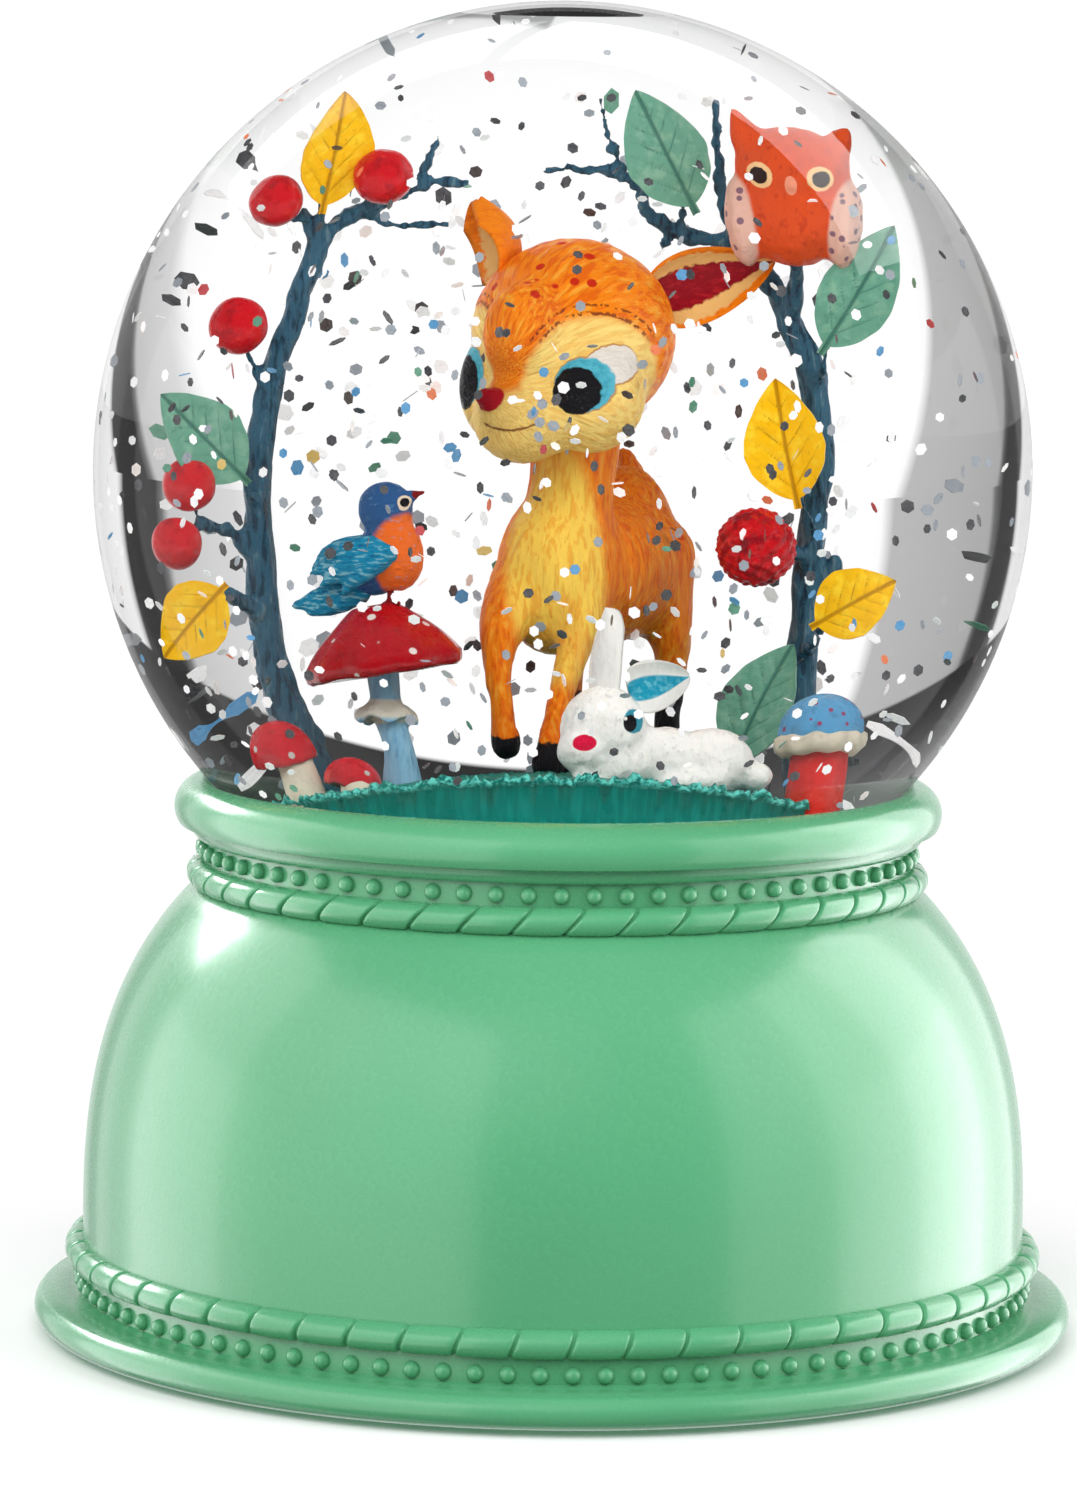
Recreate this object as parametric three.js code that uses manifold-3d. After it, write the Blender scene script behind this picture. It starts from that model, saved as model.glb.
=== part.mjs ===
// A light-up snow globe: a liquid-filled clear ball with a forest scene, on a domed base that holds
// three AA cells, a round LED board and an underside slide switch. Millimetres, +Z up, the front
// faces -Y, and the origin is the centre of the circle that the four feet stand on.
import * as THREE from "three";
import { mergeVertices } from "three/addons/utils/BufferGeometryUtils.js";
import Module from "manifold-3d";

const wasm = await Module();
wasm.setup();

// ---------------------------------------------------------------- driving dimensions
const HEIGHT = 140; // table to the top of the ball
const FLANGE_RADIUS = 55;
const BALL_RADIUS = 49.2;
const BALL_WALL = 2.3;
const NECK_RADIUS = 34.5; // outside of the ball's neck
const NECK_BOTTOM = 50;
const DOME_RADIUS = 49.9; // outside of the base's drum
const WALL = 2.8; // base housing wall
const FIT = 0.3; // play between a piece and the pocket it sits in
const TOUCH = 0.1; // play between two faces that rest on each other

const BALL_CENTRE = HEIGHT - BALL_RADIUS;
const BALL_INNER = BALL_RADIUS - BALL_WALL;
const NECK_INNER = NECK_RADIUS - 2.5;

const FLANGE_BOTTOM = 0.6; // the feet hold the flange this far off the table
const COVER_BOTTOM = 1.5;
const COVER_THICK = 2.2;
const COVER_TOP = COVER_BOTTOM + COVER_THICK;
const COVER_RADIUS = 48.6;
const COVER_SCREW_RADIUS = 43.8; // where the three cover screws stand
const SHELF_TOP = 46.4; // the inner shelf that carries the ball
const SHELF_THICK = 2.6;

const CELL_RADIUS = 7.25; // AA cell
const CELL_LENGTH = 50.5;
const CELL_PITCH = 15;
const DOOR = { x: 25, y: 31, thick: 2, earX: 5, earY: 37 };
const DOOR_TOP = COVER_BOTTOM + DOOR.thick;
const CELL_Z = DOOR_TOP + FIT + CELL_RADIUS;
const WELL = { x: 23, y: 28.5, top: CELL_Z + CELL_RADIUS + 0.5, wall: 1.5 }; // half sizes of the inside
const DOOR_SCREW_Y = -33.6;
const PAD_TOP = 5.7; // the thick rim that the door closes against
const SWITCH = { x: 37, y: 12.2 };

const GROUND_CENTRE = [-0.5, -0.5];
const GROUND_RADIUS = 26;
const GROUND_TOP = 66.8; // crown of the mound that the animals stand on
const GROUND_FALL = { x: 0.0082, y: 0.0034 }; // the mound falls by these times the distance squared
const GROUND_BOTTOM = 57.4;

const ROUND = 32; // segments of the large turned parts

// ---------------------------------------------------------------- materials
const paint = (color, roughness = 0.45, metalness = 0) =>
  new THREE.MeshStandardMaterial({ color, roughness, metalness });
const clear = (color, opacity, roughness) =>
  new THREE.MeshStandardMaterial({ color, roughness, opacity, transparent: true });

const GREEN = paint(0x7cc99b, 0.35);
const DARK_PLASTIC = paint(0x2d3133, 0.5);
const WHITE_PLASTIC = paint(0xf2f2ee, 0.4);
const RUBBER = paint(0x3a3a3a, 0.85);
const STEEL = paint(0xc4c8cc, 0.3, 1);
const CELL_SKIN = paint(0x3f6f52, 0.35, 0.3);
const BOARD = paint(0xf0f0e6, 0.5);
const BALL_CLEAR = clear(0xffffff, 0.3, 0.02);
const SILICONE = clear(0xe6e8e4, 0.8, 0.4);
const LED_CLEAR = clear(0xfff6dd, 0.8, 0.1);
const WIRE_RED = paint(0xc22a22);
const WIRE_BLACK = paint(0x1c1c1c);
const TEAL = paint(0x1f8c78, 0.5);
const FAWN_ORANGE = paint(0xf0862a);
const RABBIT_WHITE = paint(0xe9e6df);
const BIRD_BLUE = paint(0x2f8fb0);
const CAP_RED = paint(0xa81c22);
const STALK_BLUE = paint(0x8fb9d2);
const BARK = paint(0x2d4a56, 0.6);
const LEAF_YELLOW = paint(0xdcb81e);
const LEAF_GREEN = paint(0x6fae93);
const BERRY_RED = paint(0xc8201f, 0.35);
const OWL_ORANGE = paint(0xe8592c);
const CAP_BLUE = paint(0x5ba3d0);

// ---------------------------------------------------------------- shapes
const part = new THREE.Group();
const base = new THREE.Group();
const ball = new THREE.Group();
const forest = new THREE.Group();
part.add(base, ball, forest);

function solid(geometry) {
  const bare = geometry.clone();
  bare.deleteAttribute("normal");
  bare.deleteAttribute("uv");
  const merged = mergeVertices(bare, 1e-4);
  const triVerts = new Uint32Array(merged.index.array);
  const vertProperties = new Float32Array(merged.attributes.position.array);
  const made = new wasm.Manifold(new wasm.Mesh({ numProp: 3, vertProperties, triVerts }));
  if (made.volume() > 0) return made;
  for (let i = 0; i < triVerts.length; i += 3) {
    [triVerts[i], triVerts[i + 1]] = [triVerts[i + 1], triVerts[i]];
  }
  return new wasm.Manifold(new wasm.Mesh({ numProp: 3, vertProperties, triVerts }));
}

function surface(body) {
  const { numProp, numVert, vertProperties, triVerts } = body.getMesh();
  const position = new Float32Array(numVert * 3);
  for (let i = 0; i < numVert; i++) {
    position.set(vertProperties.subarray(i * numProp, i * numProp + 3), i * 3);
  }
  const geometry = new THREE.BufferGeometry();
  geometry.setAttribute("position", new THREE.BufferAttribute(position, 3));
  geometry.setIndex(new THREE.BufferAttribute(triVerts, 1));
  return geometry;
}

function add(group, name, body, material, place = [0, 0, 0]) {
  const mesh = new THREE.Mesh(surface(body), material.clone());
  mesh.name = name;
  mesh.position.set(...place);
  group.add(mesh);
  return body;
}

const join = (bodies) => bodies.reduce((sum, body) => sum.add(body));
const cut = (body, tools) => tools.reduce((left, tool) => left.subtract(tool), body);

// Cuts a body back so that it stands clear of its neighbours by about the gap, on every side.
function clearOf(body, neighbours, gap = 0.25) {
  const steps = [-gap, gap].flatMap((d) => [[d, 0, 0], [0, d, 0], [0, 0, d]]);
  const grown = neighbours.flatMap((n) => [n, ...steps.map((s) => n.translate(s))]);
  return largest(cut(body, grown));
}

// Cuts away whatever of a piece would sink into the mound.
const standing = (body, mound) => largest(body.subtract(mound.translate([0, 0, 0.15])));

const largest = (body) =>
  body.decompose().reduce((best, piece) => (piece.volume() > best.volume() ? piece : best));

// A turned body about Z from an outline of [radius, height] points.
function turned(outline, segments = ROUND) {
  const closed = [...outline];
  const [first, last] = [outline[0], outline.at(-1)];
  if (first[0] > 0 || last[0] > 0) closed.push(first);
  const points = closed.map(([r, z]) => new THREE.Vector2(r, z));
  return solid(new THREE.LatheGeometry(points, segments).rotateX(Math.PI / 2));
}

function rod(radius, bottom, top, x = 0, y = 0, segments = 20) {
  const geometry = new THREE.CylinderGeometry(radius, radius, top - bottom, segments);
  return solid(geometry.rotateX(Math.PI / 2).translate(x, y, (top + bottom) / 2));
}

function block([x0, y0, z0], [x1, y1, z1]) {
  const geometry = new THREE.BoxGeometry(x1 - x0, y1 - y0, z1 - z0);
  return solid(geometry.translate((x0 + x1) / 2, (y0 + y1) / 2, (z0 + z1) / 2));
}

// An ellipsoid with its own turn, in degrees about X, Y and then Z.
function egg([x, y, z], [a, b, c], turn = [0, 0, 0], detail = 8) {
  const angles = turn.map(THREE.MathUtils.degToRad);
  const place = new THREE.Matrix4().compose(
    new THREE.Vector3(x, y, z),
    new THREE.Quaternion().setFromEuler(new THREE.Euler(...angles, "ZYX")),
    new THREE.Vector3(a, b, c),
  );
  return solid(new THREE.SphereGeometry(1, detail, detail / 2 + 1).applyMatrix4(place));
}

// A tapering limb: a cylinder whose rings are moved on to a smooth curve through the points.
function limb(points, startRadius, endRadius, sides = 7) {
  const curve = new THREE.CatmullRomCurve3(points.map((p) => new THREE.Vector3(...p)));
  const steps = points.length > 2 ? points.length * 2 : 1;
  const { normals, binormals } = curve.computeFrenetFrames(steps);
  const geometry = new THREE.CylinderGeometry(endRadius, startRadius, 1, sides, steps);
  const place = geometry.attributes.position;
  for (let i = 0; i < place.count; i++) {
    const step = Math.round((place.getY(i) + 0.5) * steps);
    const centre = curve.getPointAt(step / steps);
    centre.addScaledVector(normals[step], place.getX(i));
    centre.addScaledVector(binormals[step], place.getZ(i));
    place.setXYZ(i, ...centre);
  }
  return solid(geometry);
}

const arc = (cx, cz, radius, from, to, steps) =>
  Array.from({ length: steps + 1 }, (_, i) => {
    const a = THREE.MathUtils.degToRad(from + ((to - from) * i) / steps);
    return [cx + radius * Math.cos(a), cz + radius * Math.sin(a)];
  });

const onCircle = (radius, degrees) => {
  const a = THREE.MathUtils.degToRad(degrees);
  return [radius * Math.cos(a), radius * Math.sin(a)];
};

// ---------------------------------------------------------------- base housing
// The drum runs straight up and closes in to the waist as a superellipse.
const DRUM_FOOT = 12;
const DRUM_RISE = 47.3;
const WAIST_Z = 46.8;
const drumRadius = (z) => DOME_RADIUS * (1 - (Math.max(z - DRUM_FOOT, 0) / DRUM_RISE) ** 2.5) ** 0.4;

function drumWall(offset, from, to, steps) {
  return Array.from({ length: steps + 1 }, (_, i) => {
    const z = from + ((to - from) * i) / steps;
    return [drumRadius(z) - offset, z];
  });
}

function baseHousing() {
  const coverRoom = COVER_RADIUS + FIT;
  const shelfBottom = SHELF_TOP - SHELF_THICK;
  const neckRoom = NECK_RADIUS + 0.7;
  const outline = [
    [coverRoom, FLANGE_BOTTOM],
    [53.4, FLANGE_BOTTOM],
    ...arc(FLANGE_RADIUS - 1.75, 2.45, 1.75, -80, 80, 4),
    [50, 4.3], // band that carries the lower beads
    [50, 6.9],
    ...arc(50.3, 8.5, 1.5, -80, 80, 2), // lower rope moulding
    ...drumWall(0, DRUM_FOOT, WAIST_Z, 7),
    ...arc(37.6, 48.5, 1.5, -60, 70, 2), // upper rope moulding
    [37.3, 50.1], // band that carries the upper beads
    [37.3, 52.4],
    ...arc(37.6, 55.6, 2.9, -75, 88, 4), // collar
    [37.6, 58.4],
    [36, 56.2],
    [neckRoom, 55],
    [neckRoom, SHELF_TOP],
    [29, SHELF_TOP],
    [29, shelfBottom],
    ...drumWall(WALL, shelfBottom, DRUM_FOOT, 4),
    [DOME_RADIUS - WALL, COVER_TOP + TOUCH],
    [coverRoom, COVER_TOP + TOUCH],
  ];
  const posts = [0, 120, 240].map((a) => onCircle(COVER_SCREW_RADIUS, a));
  const shell = join([turned(outline), ...posts.map(([x, y]) => rod(3.6, COVER_TOP + TOUCH, 16, x, y))]);
  return cut(shell, posts.map(([x, y]) => rod(1.5, COVER_TOP, 13, x, y)));
}

// ---------------------------------------------------------------- underside
const mirrored = (box) => [box, [[-box[1][0], box[0][1], box[0][2]], [-box[0][0], box[1][1], box[1][2]]]];

function bottomCover() {
  const { x, y, top, wall } = WELL;
  const boss = [0, DOOR_SCREW_Y];
  const body = join([
    rod(COVER_RADIUS, COVER_BOTTOM, COVER_TOP, 0, 0, ROUND),
    block([-x - 5, -y - 5.5, COVER_BOTTOM], [x + 5, y + 5.5, PAD_TOP]),
    block([-8, -40, COVER_BOTTOM], [8, -y, PAD_TOP]),
    block([-x - wall, -y - wall, COVER_BOTTOM], [x + wall, y + wall, top + wall]),
    rod(3.5, PAD_TOP - 1, 9, ...boss),
  ]);
  const screws = [0, 120, 240].map((a) => onCircle(COVER_SCREW_RADIUS, a));
  const hookSlots = mirrored([[5.2, y - TOUCH, DOOR_TOP + 0.2], [9.8, y + 5.3, 8]]);
  return cut(body, [
    block([-x, -y, 0], [x, y, top]),
    block([-DOOR.x - FIT, -DOOR.y - FIT, 0], [DOOR.x + FIT, DOOR.y + FIT, DOOR_TOP + 0.2]),
    block([-DOOR.earX - FIT, -DOOR.earY - FIT, 0], [DOOR.earX + FIT, -DOOR.y, DOOR_TOP + 0.2]),
    ...hookSlots.map((box) => block(...box)),
    rod(1.6, 0, 10, ...boss),
    block([SWITCH.x - 1.8, 9, 0], [SWITCH.x + 1.8, 19, 5]),
    ...screws.flatMap(([sx, sy]) => [rod(1.6, 0, 5, sx, sy), rod(3, 0, COVER_BOTTOM + 1.1, sx, sy)]),
  ]);
}

function batteryDoor() {
  const hooks = [
    ...mirrored([[5.6, WELL.y + TOUCH, DOOR_TOP - 0.5], [9.4, DOOR.y, DOOR_TOP + 1.3]]),
    ...mirrored([[5.6, DOOR.y - 1, DOOR_TOP + 0.4], [9.4, DOOR.y + 2.2, DOOR_TOP + 1.3]]),
  ];
  const body = join([
    block([-DOOR.x, -DOOR.y, COVER_BOTTOM], [DOOR.x, DOOR.y, DOOR_TOP]),
    block([-DOOR.earX, -DOOR.earY, COVER_BOTTOM], [DOOR.earX, -DOOR.y + 1, DOOR_TOP]),
    ...hooks.map((box) => block(...box)),
  ]);
  const grips = [-6, -3, 0, 3, 6].map((dy) => block([-7, dy - 24.5, 0], [7, dy - 23.5, COVER_BOTTOM + 0.5]));
  return cut(body, [
    rod(2.8, 0, COVER_BOTTOM + 1.1, 0, DOOR_SCREW_Y),
    rod(1.35, 0, 10, 0, DOOR_SCREW_Y),
    ...grips,
  ]);
}

// A pan-head screw that is driven from below, with a cross recess.
function screw(headRadius, shankRadius, length) {
  const body = join([rod(headRadius, 0, 0.9, 0, 0, 16), rod(shankRadius, 0.8, length, 0, 0, 12)]);
  return cut(body, [block([-1.6, -0.3, -1], [1.6, 0.3, 0.5]), block([-0.3, -1.6, -1], [0.3, 1.6, 0.5])]);
}

// ---------------------------------------------------------------- batteries and contacts
// Each cell lies along Y; way is +1 when its positive button points to +Y.
const CELLS = [
  ["left", -CELL_PITCH, 1],
  ["middle", 0, -1],
  ["right", CELL_PITCH, 1],
];
const CONTACT_Y = WELL.y - 0.8; // inner face of each contact plate

function cell(way) {
  const shape = turned(
    [[0, 0], [6.6, 0], [CELL_RADIUS, 0.5], [CELL_RADIUS, CELL_LENGTH - 1.6], [6.4, CELL_LENGTH - 1],
      [2.7, CELL_LENGTH - 1], [2.7, CELL_LENGTH], [0, CELL_LENGTH]],
    20,
  );
  const start = way * (CONTACT_Y - TOUCH - CELL_LENGTH);
  return shape.rotate([-90 * way, 0, 0]).translate([0, start, 0]);
}

class Coil extends THREE.Curve {
  constructor(turns, wide, narrow, length) {
    super();
    Object.assign(this, { turns, wide, narrow, length });
  }

  getPoint(t, target = new THREE.Vector3()) {
    const a = t * this.turns * 2 * Math.PI;
    const r = this.wide + (this.narrow - this.wide) * t;
    return target.set(r * Math.cos(a), t * this.length, r * Math.sin(a));
  }
}

function tube(curve, radius, steps, sides = 6) {
  const section = new THREE.Shape();
  for (let i = 0; i < sides; i++) {
    const a = (i * 2 * Math.PI) / sides;
    section[i ? "lineTo" : "moveTo"](radius * Math.cos(a), radius * Math.sin(a));
  }
  return solid(new THREE.ExtrudeGeometry(section, { steps, extrudePath: curve, bevelEnabled: false }));
}

function contactPlate(way) {
  const plate = block([-5, CONTACT_Y, -5], [5, WELL.y - 0.2, 5]);
  return way > 0 ? plate : plate.rotate([0, 0, 180]);
}

function contactSpring(way) {
  const gap = 2 * CONTACT_Y - CELL_LENGTH - TOUCH; // from the spring's plate to the cell's flat end
  const coil = tube(new Coil(3.5, 4, 2.4, gap - 0.7), 0.4, 36, 5).translate([0, 0.35, 0]);
  const placed = way > 0 ? coil : coil.rotate([0, 0, 180]);
  return join([placed.translate([0, -way * CONTACT_Y, 0]), contactPlate(-way)]);
}

function wire(points, name, material) {
  const curve = new THREE.CatmullRomCurve3(points.map((p) => new THREE.Vector3(...p)));
  return add(base, name, tube(curve, 0.6, 14), material);
}

// ---------------------------------------------------------------- light and switch
const BOARD_Z = 32;
const BOARD_THICK = 1.6;
const LED_Z = BOARD_Z + BOARD_THICK + TOUCH;

function led() {
  const dome = arc(0, 4, 2.5, 0, 90, 3);
  return turned([[0, 0], [2.9, 0], [2.9, 1], [2.5, 1], ...dome.slice(0, -1), [0, 6.5]], 12);
}

function reflectorCup() {
  const rimTop = SHELF_TOP - SHELF_THICK - TOUCH;
  return turned(
    [[36, rimTop - 1.5], [36, rimTop], [28, rimTop], [15.5, LED_Z], [17.3, LED_Z], [29, rimTop - 1.5]],
    36,
  );
}

function switchBody() {
  const { x, y } = SWITCH;
  const ends = [[y - 7, y - 5], [y + 8.5, y + 10]];
  const shell = join([
    block([x - 4, y - 7, COVER_TOP + 1.3], [x + 4, y + 10, 9.5]),
    ...ends.map(([from, to]) => block([x - 4, from, COVER_TOP + TOUCH], [x + 4, to, 6])),
  ]);
  return cut(shell, [block([x - 1, y - 4, 0], [x + 1, y + 6, 6])]);
}

function switchSlider() {
  const { x, y } = SWITCH;
  return join([
    block([x - 1.5, y - 2.3, 1], [x + 1.5, y + 2.2, COVER_TOP + 0.5]),
    block([x - 3.2, y - 4.5, COVER_TOP + 0.2], [x + 3.2, y + 4.5, COVER_TOP + 1.1]),
  ]);
}

// ---------------------------------------------------------------- ball, plug and gasket
function ballShell() {
  const meets = (radius, r) => -THREE.MathUtils.radToDeg(Math.acos(r / radius));
  const outer = arc(0, BALL_CENTRE, BALL_RADIUS, 90, meets(BALL_RADIUS, NECK_RADIUS), 12);
  const inner = arc(0, BALL_CENTRE, BALL_INNER, meets(BALL_INNER, NECK_INNER), 90, 10);
  const top = [0, HEIGHT];
  const ceiling = [0, BALL_CENTRE + BALL_INNER];
  return turned([
    top,
    ...outer.slice(1),
    [NECK_RADIUS, NECK_BOTTOM],
    [NECK_INNER, NECK_BOTTOM],
    ...inner.slice(0, -1),
    ceiling,
  ]);
}

function ballPlug() {
  const flangeTop = NECK_BOTTOM - 0.2;
  return turned([
    [0, SHELF_TOP + 1.1],
    [NECK_RADIUS, SHELF_TOP + 1.1],
    [NECK_RADIUS, flangeTop],
    [NECK_INNER - FIT, flangeTop],
    [NECK_INNER - FIT, GROUND_BOTTOM - 0.8],
    [NECK_INNER - 1.2, GROUND_BOTTOM - 0.2],
    [0, GROUND_BOTTOM - 0.2],
  ]);
}

const gasket = () =>
  turned([[29.5, SHELF_TOP + TOUCH], [34.8, SHELF_TOP + TOUCH], [34.8, SHELF_TOP + 1], [29.5, SHELF_TOP + 1]]);

// ---------------------------------------------------------------- forest scene
const groundHeight = (x, y) => GROUND_TOP - GROUND_FALL.x * x ** 2 - GROUND_FALL.y * y ** 2;
const rootAt = (x, y) => [x, y, groundHeight(x, y) - 1]; // a limb's end, sunk in the mound

// A bowl-shaped crown, wider front to back than side to side, trimmed to a round plug.
function ground() {
  const reach = 50;
  const crown = Array.from({ length: 13 }, (_, i) => {
    const share = 1 - i / 12;
    return [share * reach, GROUND_TOP - GROUND_FALL.y * (share * reach) ** 2];
  });
  const narrow = Math.sqrt(GROUND_FALL.y / GROUND_FALL.x);
  const dome = turned([[0, GROUND_BOTTOM - 1], [reach, GROUND_BOTTOM - 1], ...crown], 40).scale([narrow, 1, 1]);
  return wasm.Manifold.intersection([rod(GROUND_RADIUS, GROUND_BOTTOM, HEIGHT, ...GROUND_CENTRE, 40), dome]);
}

function leaf(stem, tip, width, thick = 0.9) {
  const length = Math.hypot(tip[0] - stem[0], tip[2] - stem[2]);
  const half = width / 2;
  const outline = new THREE.Shape();
  outline.moveTo(0, 0);
  outline.bezierCurveTo(half * 0.3, length * 0.3, half * 1.7, length * 0.4, 0, length);
  outline.bezierCurveTo(-half * 1.7, length * 0.4, -half * 0.3, length * 0.3, 0, 0);
  const geometry = new THREE.ExtrudeGeometry(outline, { depth: thick, bevelEnabled: false, curveSegments: 7 });
  const lean = Math.atan2(tip[0] - stem[0], tip[2] - stem[2]);
  geometry.translate(0, 0, -thick / 2).rotateX(Math.PI / 2).rotateY(lean);
  return solid(geometry.translate(...stem));
}

const twig = (from, to) => limb([from, to], 0.6, 0.45, 5);

function leftTree() {
  const y = 4;
  const trunk = [[-19.4, y, 65.2], [-22.4, y, 75], [-23.3, y, 88], [-22.6, y, 97], [-19.2, y, 108.2]];
  return join([
    limb(trunk, 1.7, 1),
    limb([[-19.2, y, 108.2], [-13.5, y, 111.6], [-7.6, y, 113.2]], 0.9, 0.4),
    limb([[-12, y, 112.2], [-10, y, 116.6]], 0.5, 0.35),
    limb([[-19.2, y, 108.2], [-20.8, 3, 111.2]], 0.8, 0.5),
    limb([[-23.2, y, 83], [-26.4, 2.6, 86], [-28.6, 1, 86.4]], 0.8, 0.5),
    limb([[-22.8, y, 79], [-25.6, 1, 80.6], [-28.4, -2.8, 80.4]], 0.8, 0.5),
    twig([-19.2, y, 108.2], [-19.3, 2, 112.4]),
    twig([-20.6, 3, 110.4], [-23.4, 1.4, 112.6]),
    twig([-15.4, y, 110.6], [-14.8, 1, 114.2]),
    twig([-23, y, 99], [-26, 2, 102]),
    twig([-23.2, y, 88], [-25.4, 0.2, 90.2]),
    twig([-28.6, 1, 86.4], [-30.2, 0, 89.2]),
    twig([-28.6, 1, 86.2], [-31.4, 0, 84.8]),
  ]);
}

function rightTree() {
  const y = 6;
  const trunk = [[18.6, y, 66], [18.6, y, 74], [19.2, y, 86], [19.4, y, 94], [17.2, y, 103], [13.2, y, 108]];
  return join([
    limb(trunk, 1.6, 0.9),
    limb([[13.2, y, 108], [12, y, 113], [11.6, y, 119.6]], 0.7, 0.4),
    limb([[13.2, y, 108], [6.6, y, 109.6], [5, y, 112.6], [-1.8, y, 113.4]], 0.8, 0.35),
    limb([[4.6, y, 113], [2.6, y, 119]], 0.45, 0.35),
    limb([[17.2, y, 102], [18, 4.6, 105], [18, 2, 109]], 0.9, 0.7),
    twig([9, y, 109.2], [9.4, 4, 112.4]),
    twig([18.9, y, 97], [20.6, 2, 101.6]),
    twig([19, y, 84.6], [18.4, 0, 89.6]),
    twig([18.9, y, 84], [15.4, -1, 85.2]),
    twig([18.6, y, 77], [21, -2.9, 79.2]),
    twig([18.5, y, 69.5], [14.4, 0.3, 68.4]),
  ]);
}

const HEAD = [-0.2, -1.6, 100.6];

function fawnBody() {
  return join([
    egg([3.4, 4.6, 82.4], [5.6, 9.6, 6.2], [0, 0, -32]), // trunk of the body
    egg([-0.2, -1.2, 82.6], [5.4, 5.2, 7]), // chest
    egg([7.4, 9.6, 83.4], [3.9, 4.6, 6]), // rump
    limb([[0.2, -0.8, 85], [0.8, -0.6, 90], [0.8, -0.4, 95.5]], 4.4, 3.2, 10), // neck
    limb([[-3.6, -3, 81], [-4.9, -6, 75.6], rootAt(-4.4, -7.6)], 2.2, 1.3),
    limb([[1.2, -3, 81], [0.2, -5.8, 74.4], rootAt(-0.9, -7.4)], 2.1, 1.3),
    limb([[2, 8, 81], [-0.4, 7.6, 74.4], rootAt(-0.2, 6.8)], 2.3, 1.3),
    limb([[7.6, 8, 82], [8.5, 8.4, 75], rootAt(8.2, 7.6)], 2.8, 1.3),
    egg([10.2, 13.4, 86.6], [1.5, 1.6, 2.4]), // tail
  ]);
}

function fawnHead() {
  return join([
    egg(HEAD, [8.6, 8.8, 8.2]),
    egg([-4.2, -8.4, 97.6], [3.4, 4.2, 3.2], [0, 0, -32]), // muzzle
    egg([10.6, 2.2, 104], [6, 1.5, 2.6], [0, -28, 0]), // ear on the viewer's right
    egg([-6.6, 2.6, 108.2], [1.6, 1.4, 3.6], [0, -22, 0]), // ear on the viewer's left
  ]);
}

function rabbit() {
  return join([
    egg([10.4, -15.4, 67.2], [6.4, 3.6, 3.3]), // body
    egg([3.4, -18, 69.4], [3.8, 3.4, 4.2]), // head
    egg([4, -16.6, 75.4], [1.6, 1.1, 4.6], [0, 2, 0]), // raised ear
    egg([7.6, -16.4, 74], [3.6, 1.1, 1.7], [0, -30, 0]), // folded ear
    egg([17, -14.6, 65.8], [1.8, 1.8, 1.8]), // tail
  ]);
}

function bird() {
  return join([
    egg([-14.6, -10.2, 88.4], [2.3, 2.3, 2.2]), // head
    egg([-13.6, -10.4, 84.6], [2.5, 2.6, 3.4], [0, -12, 0]), // breast
    egg([-17.2, -9.4, 83.4], [3.9, 2, 2], [0, -42, 0]), // wing
    egg([-20, -8.8, 80.4], [2.7, 1.3, 1.1], [0, -28, 0]), // tail
  ]);
}

const MUSHROOM = [-14.8, -10];

function tallMushroomCap() {
  const cap = turned([[0, 0.4], [6.4, -1], [6.8, -0.5], [6.4, 0.3], [3.6, 2.3], [1.7, 4.4], [0, 5.8]], 24);
  return cap.rotate([0, -10, 0]).translate([...MUSHROOM, 76]);
}

function tallMushroomStalk() {
  return join([
    limb([rootAt(-14, -11.6), [...MUSHROOM, 75.6]], 1.4, 1.1, 8),
    egg([-14.8, -10.2, 71.6], [2.3, 2.3, 0.8]),
  ]);
}

function smallMushroom([x, y], capRadius, capHeight, stalkRadius, capBase) {
  const foot = groundHeight(x, y) + 0.3 + stalkRadius * 0.14;
  const base = foot + capBase;
  const cap = turned(
    [[0, 0], [capRadius * 0.96, 0], [capRadius, capHeight * 0.25], [capRadius * 0.8, capHeight * 0.72], [0, capHeight]],
    18,
  );
  return { cap: cap.translate([x, y, base]), stalk: rod(stalkRadius, foot, base + 0.4, x, y, 14) };
}

function raspberry() {
  const [cx, cy, cz] = [15.4, -2, 85.2];
  const drupes = [0, 60, 120, 180, 240, 300].map((a) => {
    const [dx, dz] = onCircle(1.9, a);
    return egg([cx + dx, cy, cz + dz], [1.5, 2, 1.5], [0, 0, 0], 6);
  });
  return join([egg([cx, cy, cz], [2.4, 2.5, 2.4]), ...drupes]);
}

function owl() {
  return join([
    egg([17.9, 1.6, 112.6], [4.6, 4, 5.4]),
    egg([14.7, 1.6, 117.6], [1.1, 1, 2.1], [0, -30, 0], 10),
    egg([21.9, 1.6, 117.2], [1.1, 1, 2.1], [0, 30, 0], 10),
  ]);
}

// ---------------------------------------------------------------- assembly
const SCREW_Z = COVER_BOTTOM + TOUCH;
add(base, "base_housing", baseHousing(), GREEN);
add(base, "bottom_cover", bottomCover(), DARK_PLASTIC);
add(base, "battery_door", batteryDoor(), DARK_PLASTIC);
add(base, "door_screw", screw(2.4, 1.1, 6.4), STEEL, [0, DOOR_SCREW_Y, SCREW_Z]);
[0, 120, 240].forEach((angle, i) => {
  const place = [...onCircle(COVER_SCREW_RADIUS, angle), SCREW_Z];
  add(base, `cover_screw_${i + 1}`, screw(2.7, 1.2, 10.9), STEEL, place);
});
[[31, 29.5], [-31, 29.5], [-31, -29.5], [31, -29.5]].forEach(([x, y], i) => {
  add(base, `rubber_foot_${i + 1}`, rod(3.6, 0, COVER_BOTTOM - 0.05), RUBBER, [x, y, 0]);
});
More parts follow.
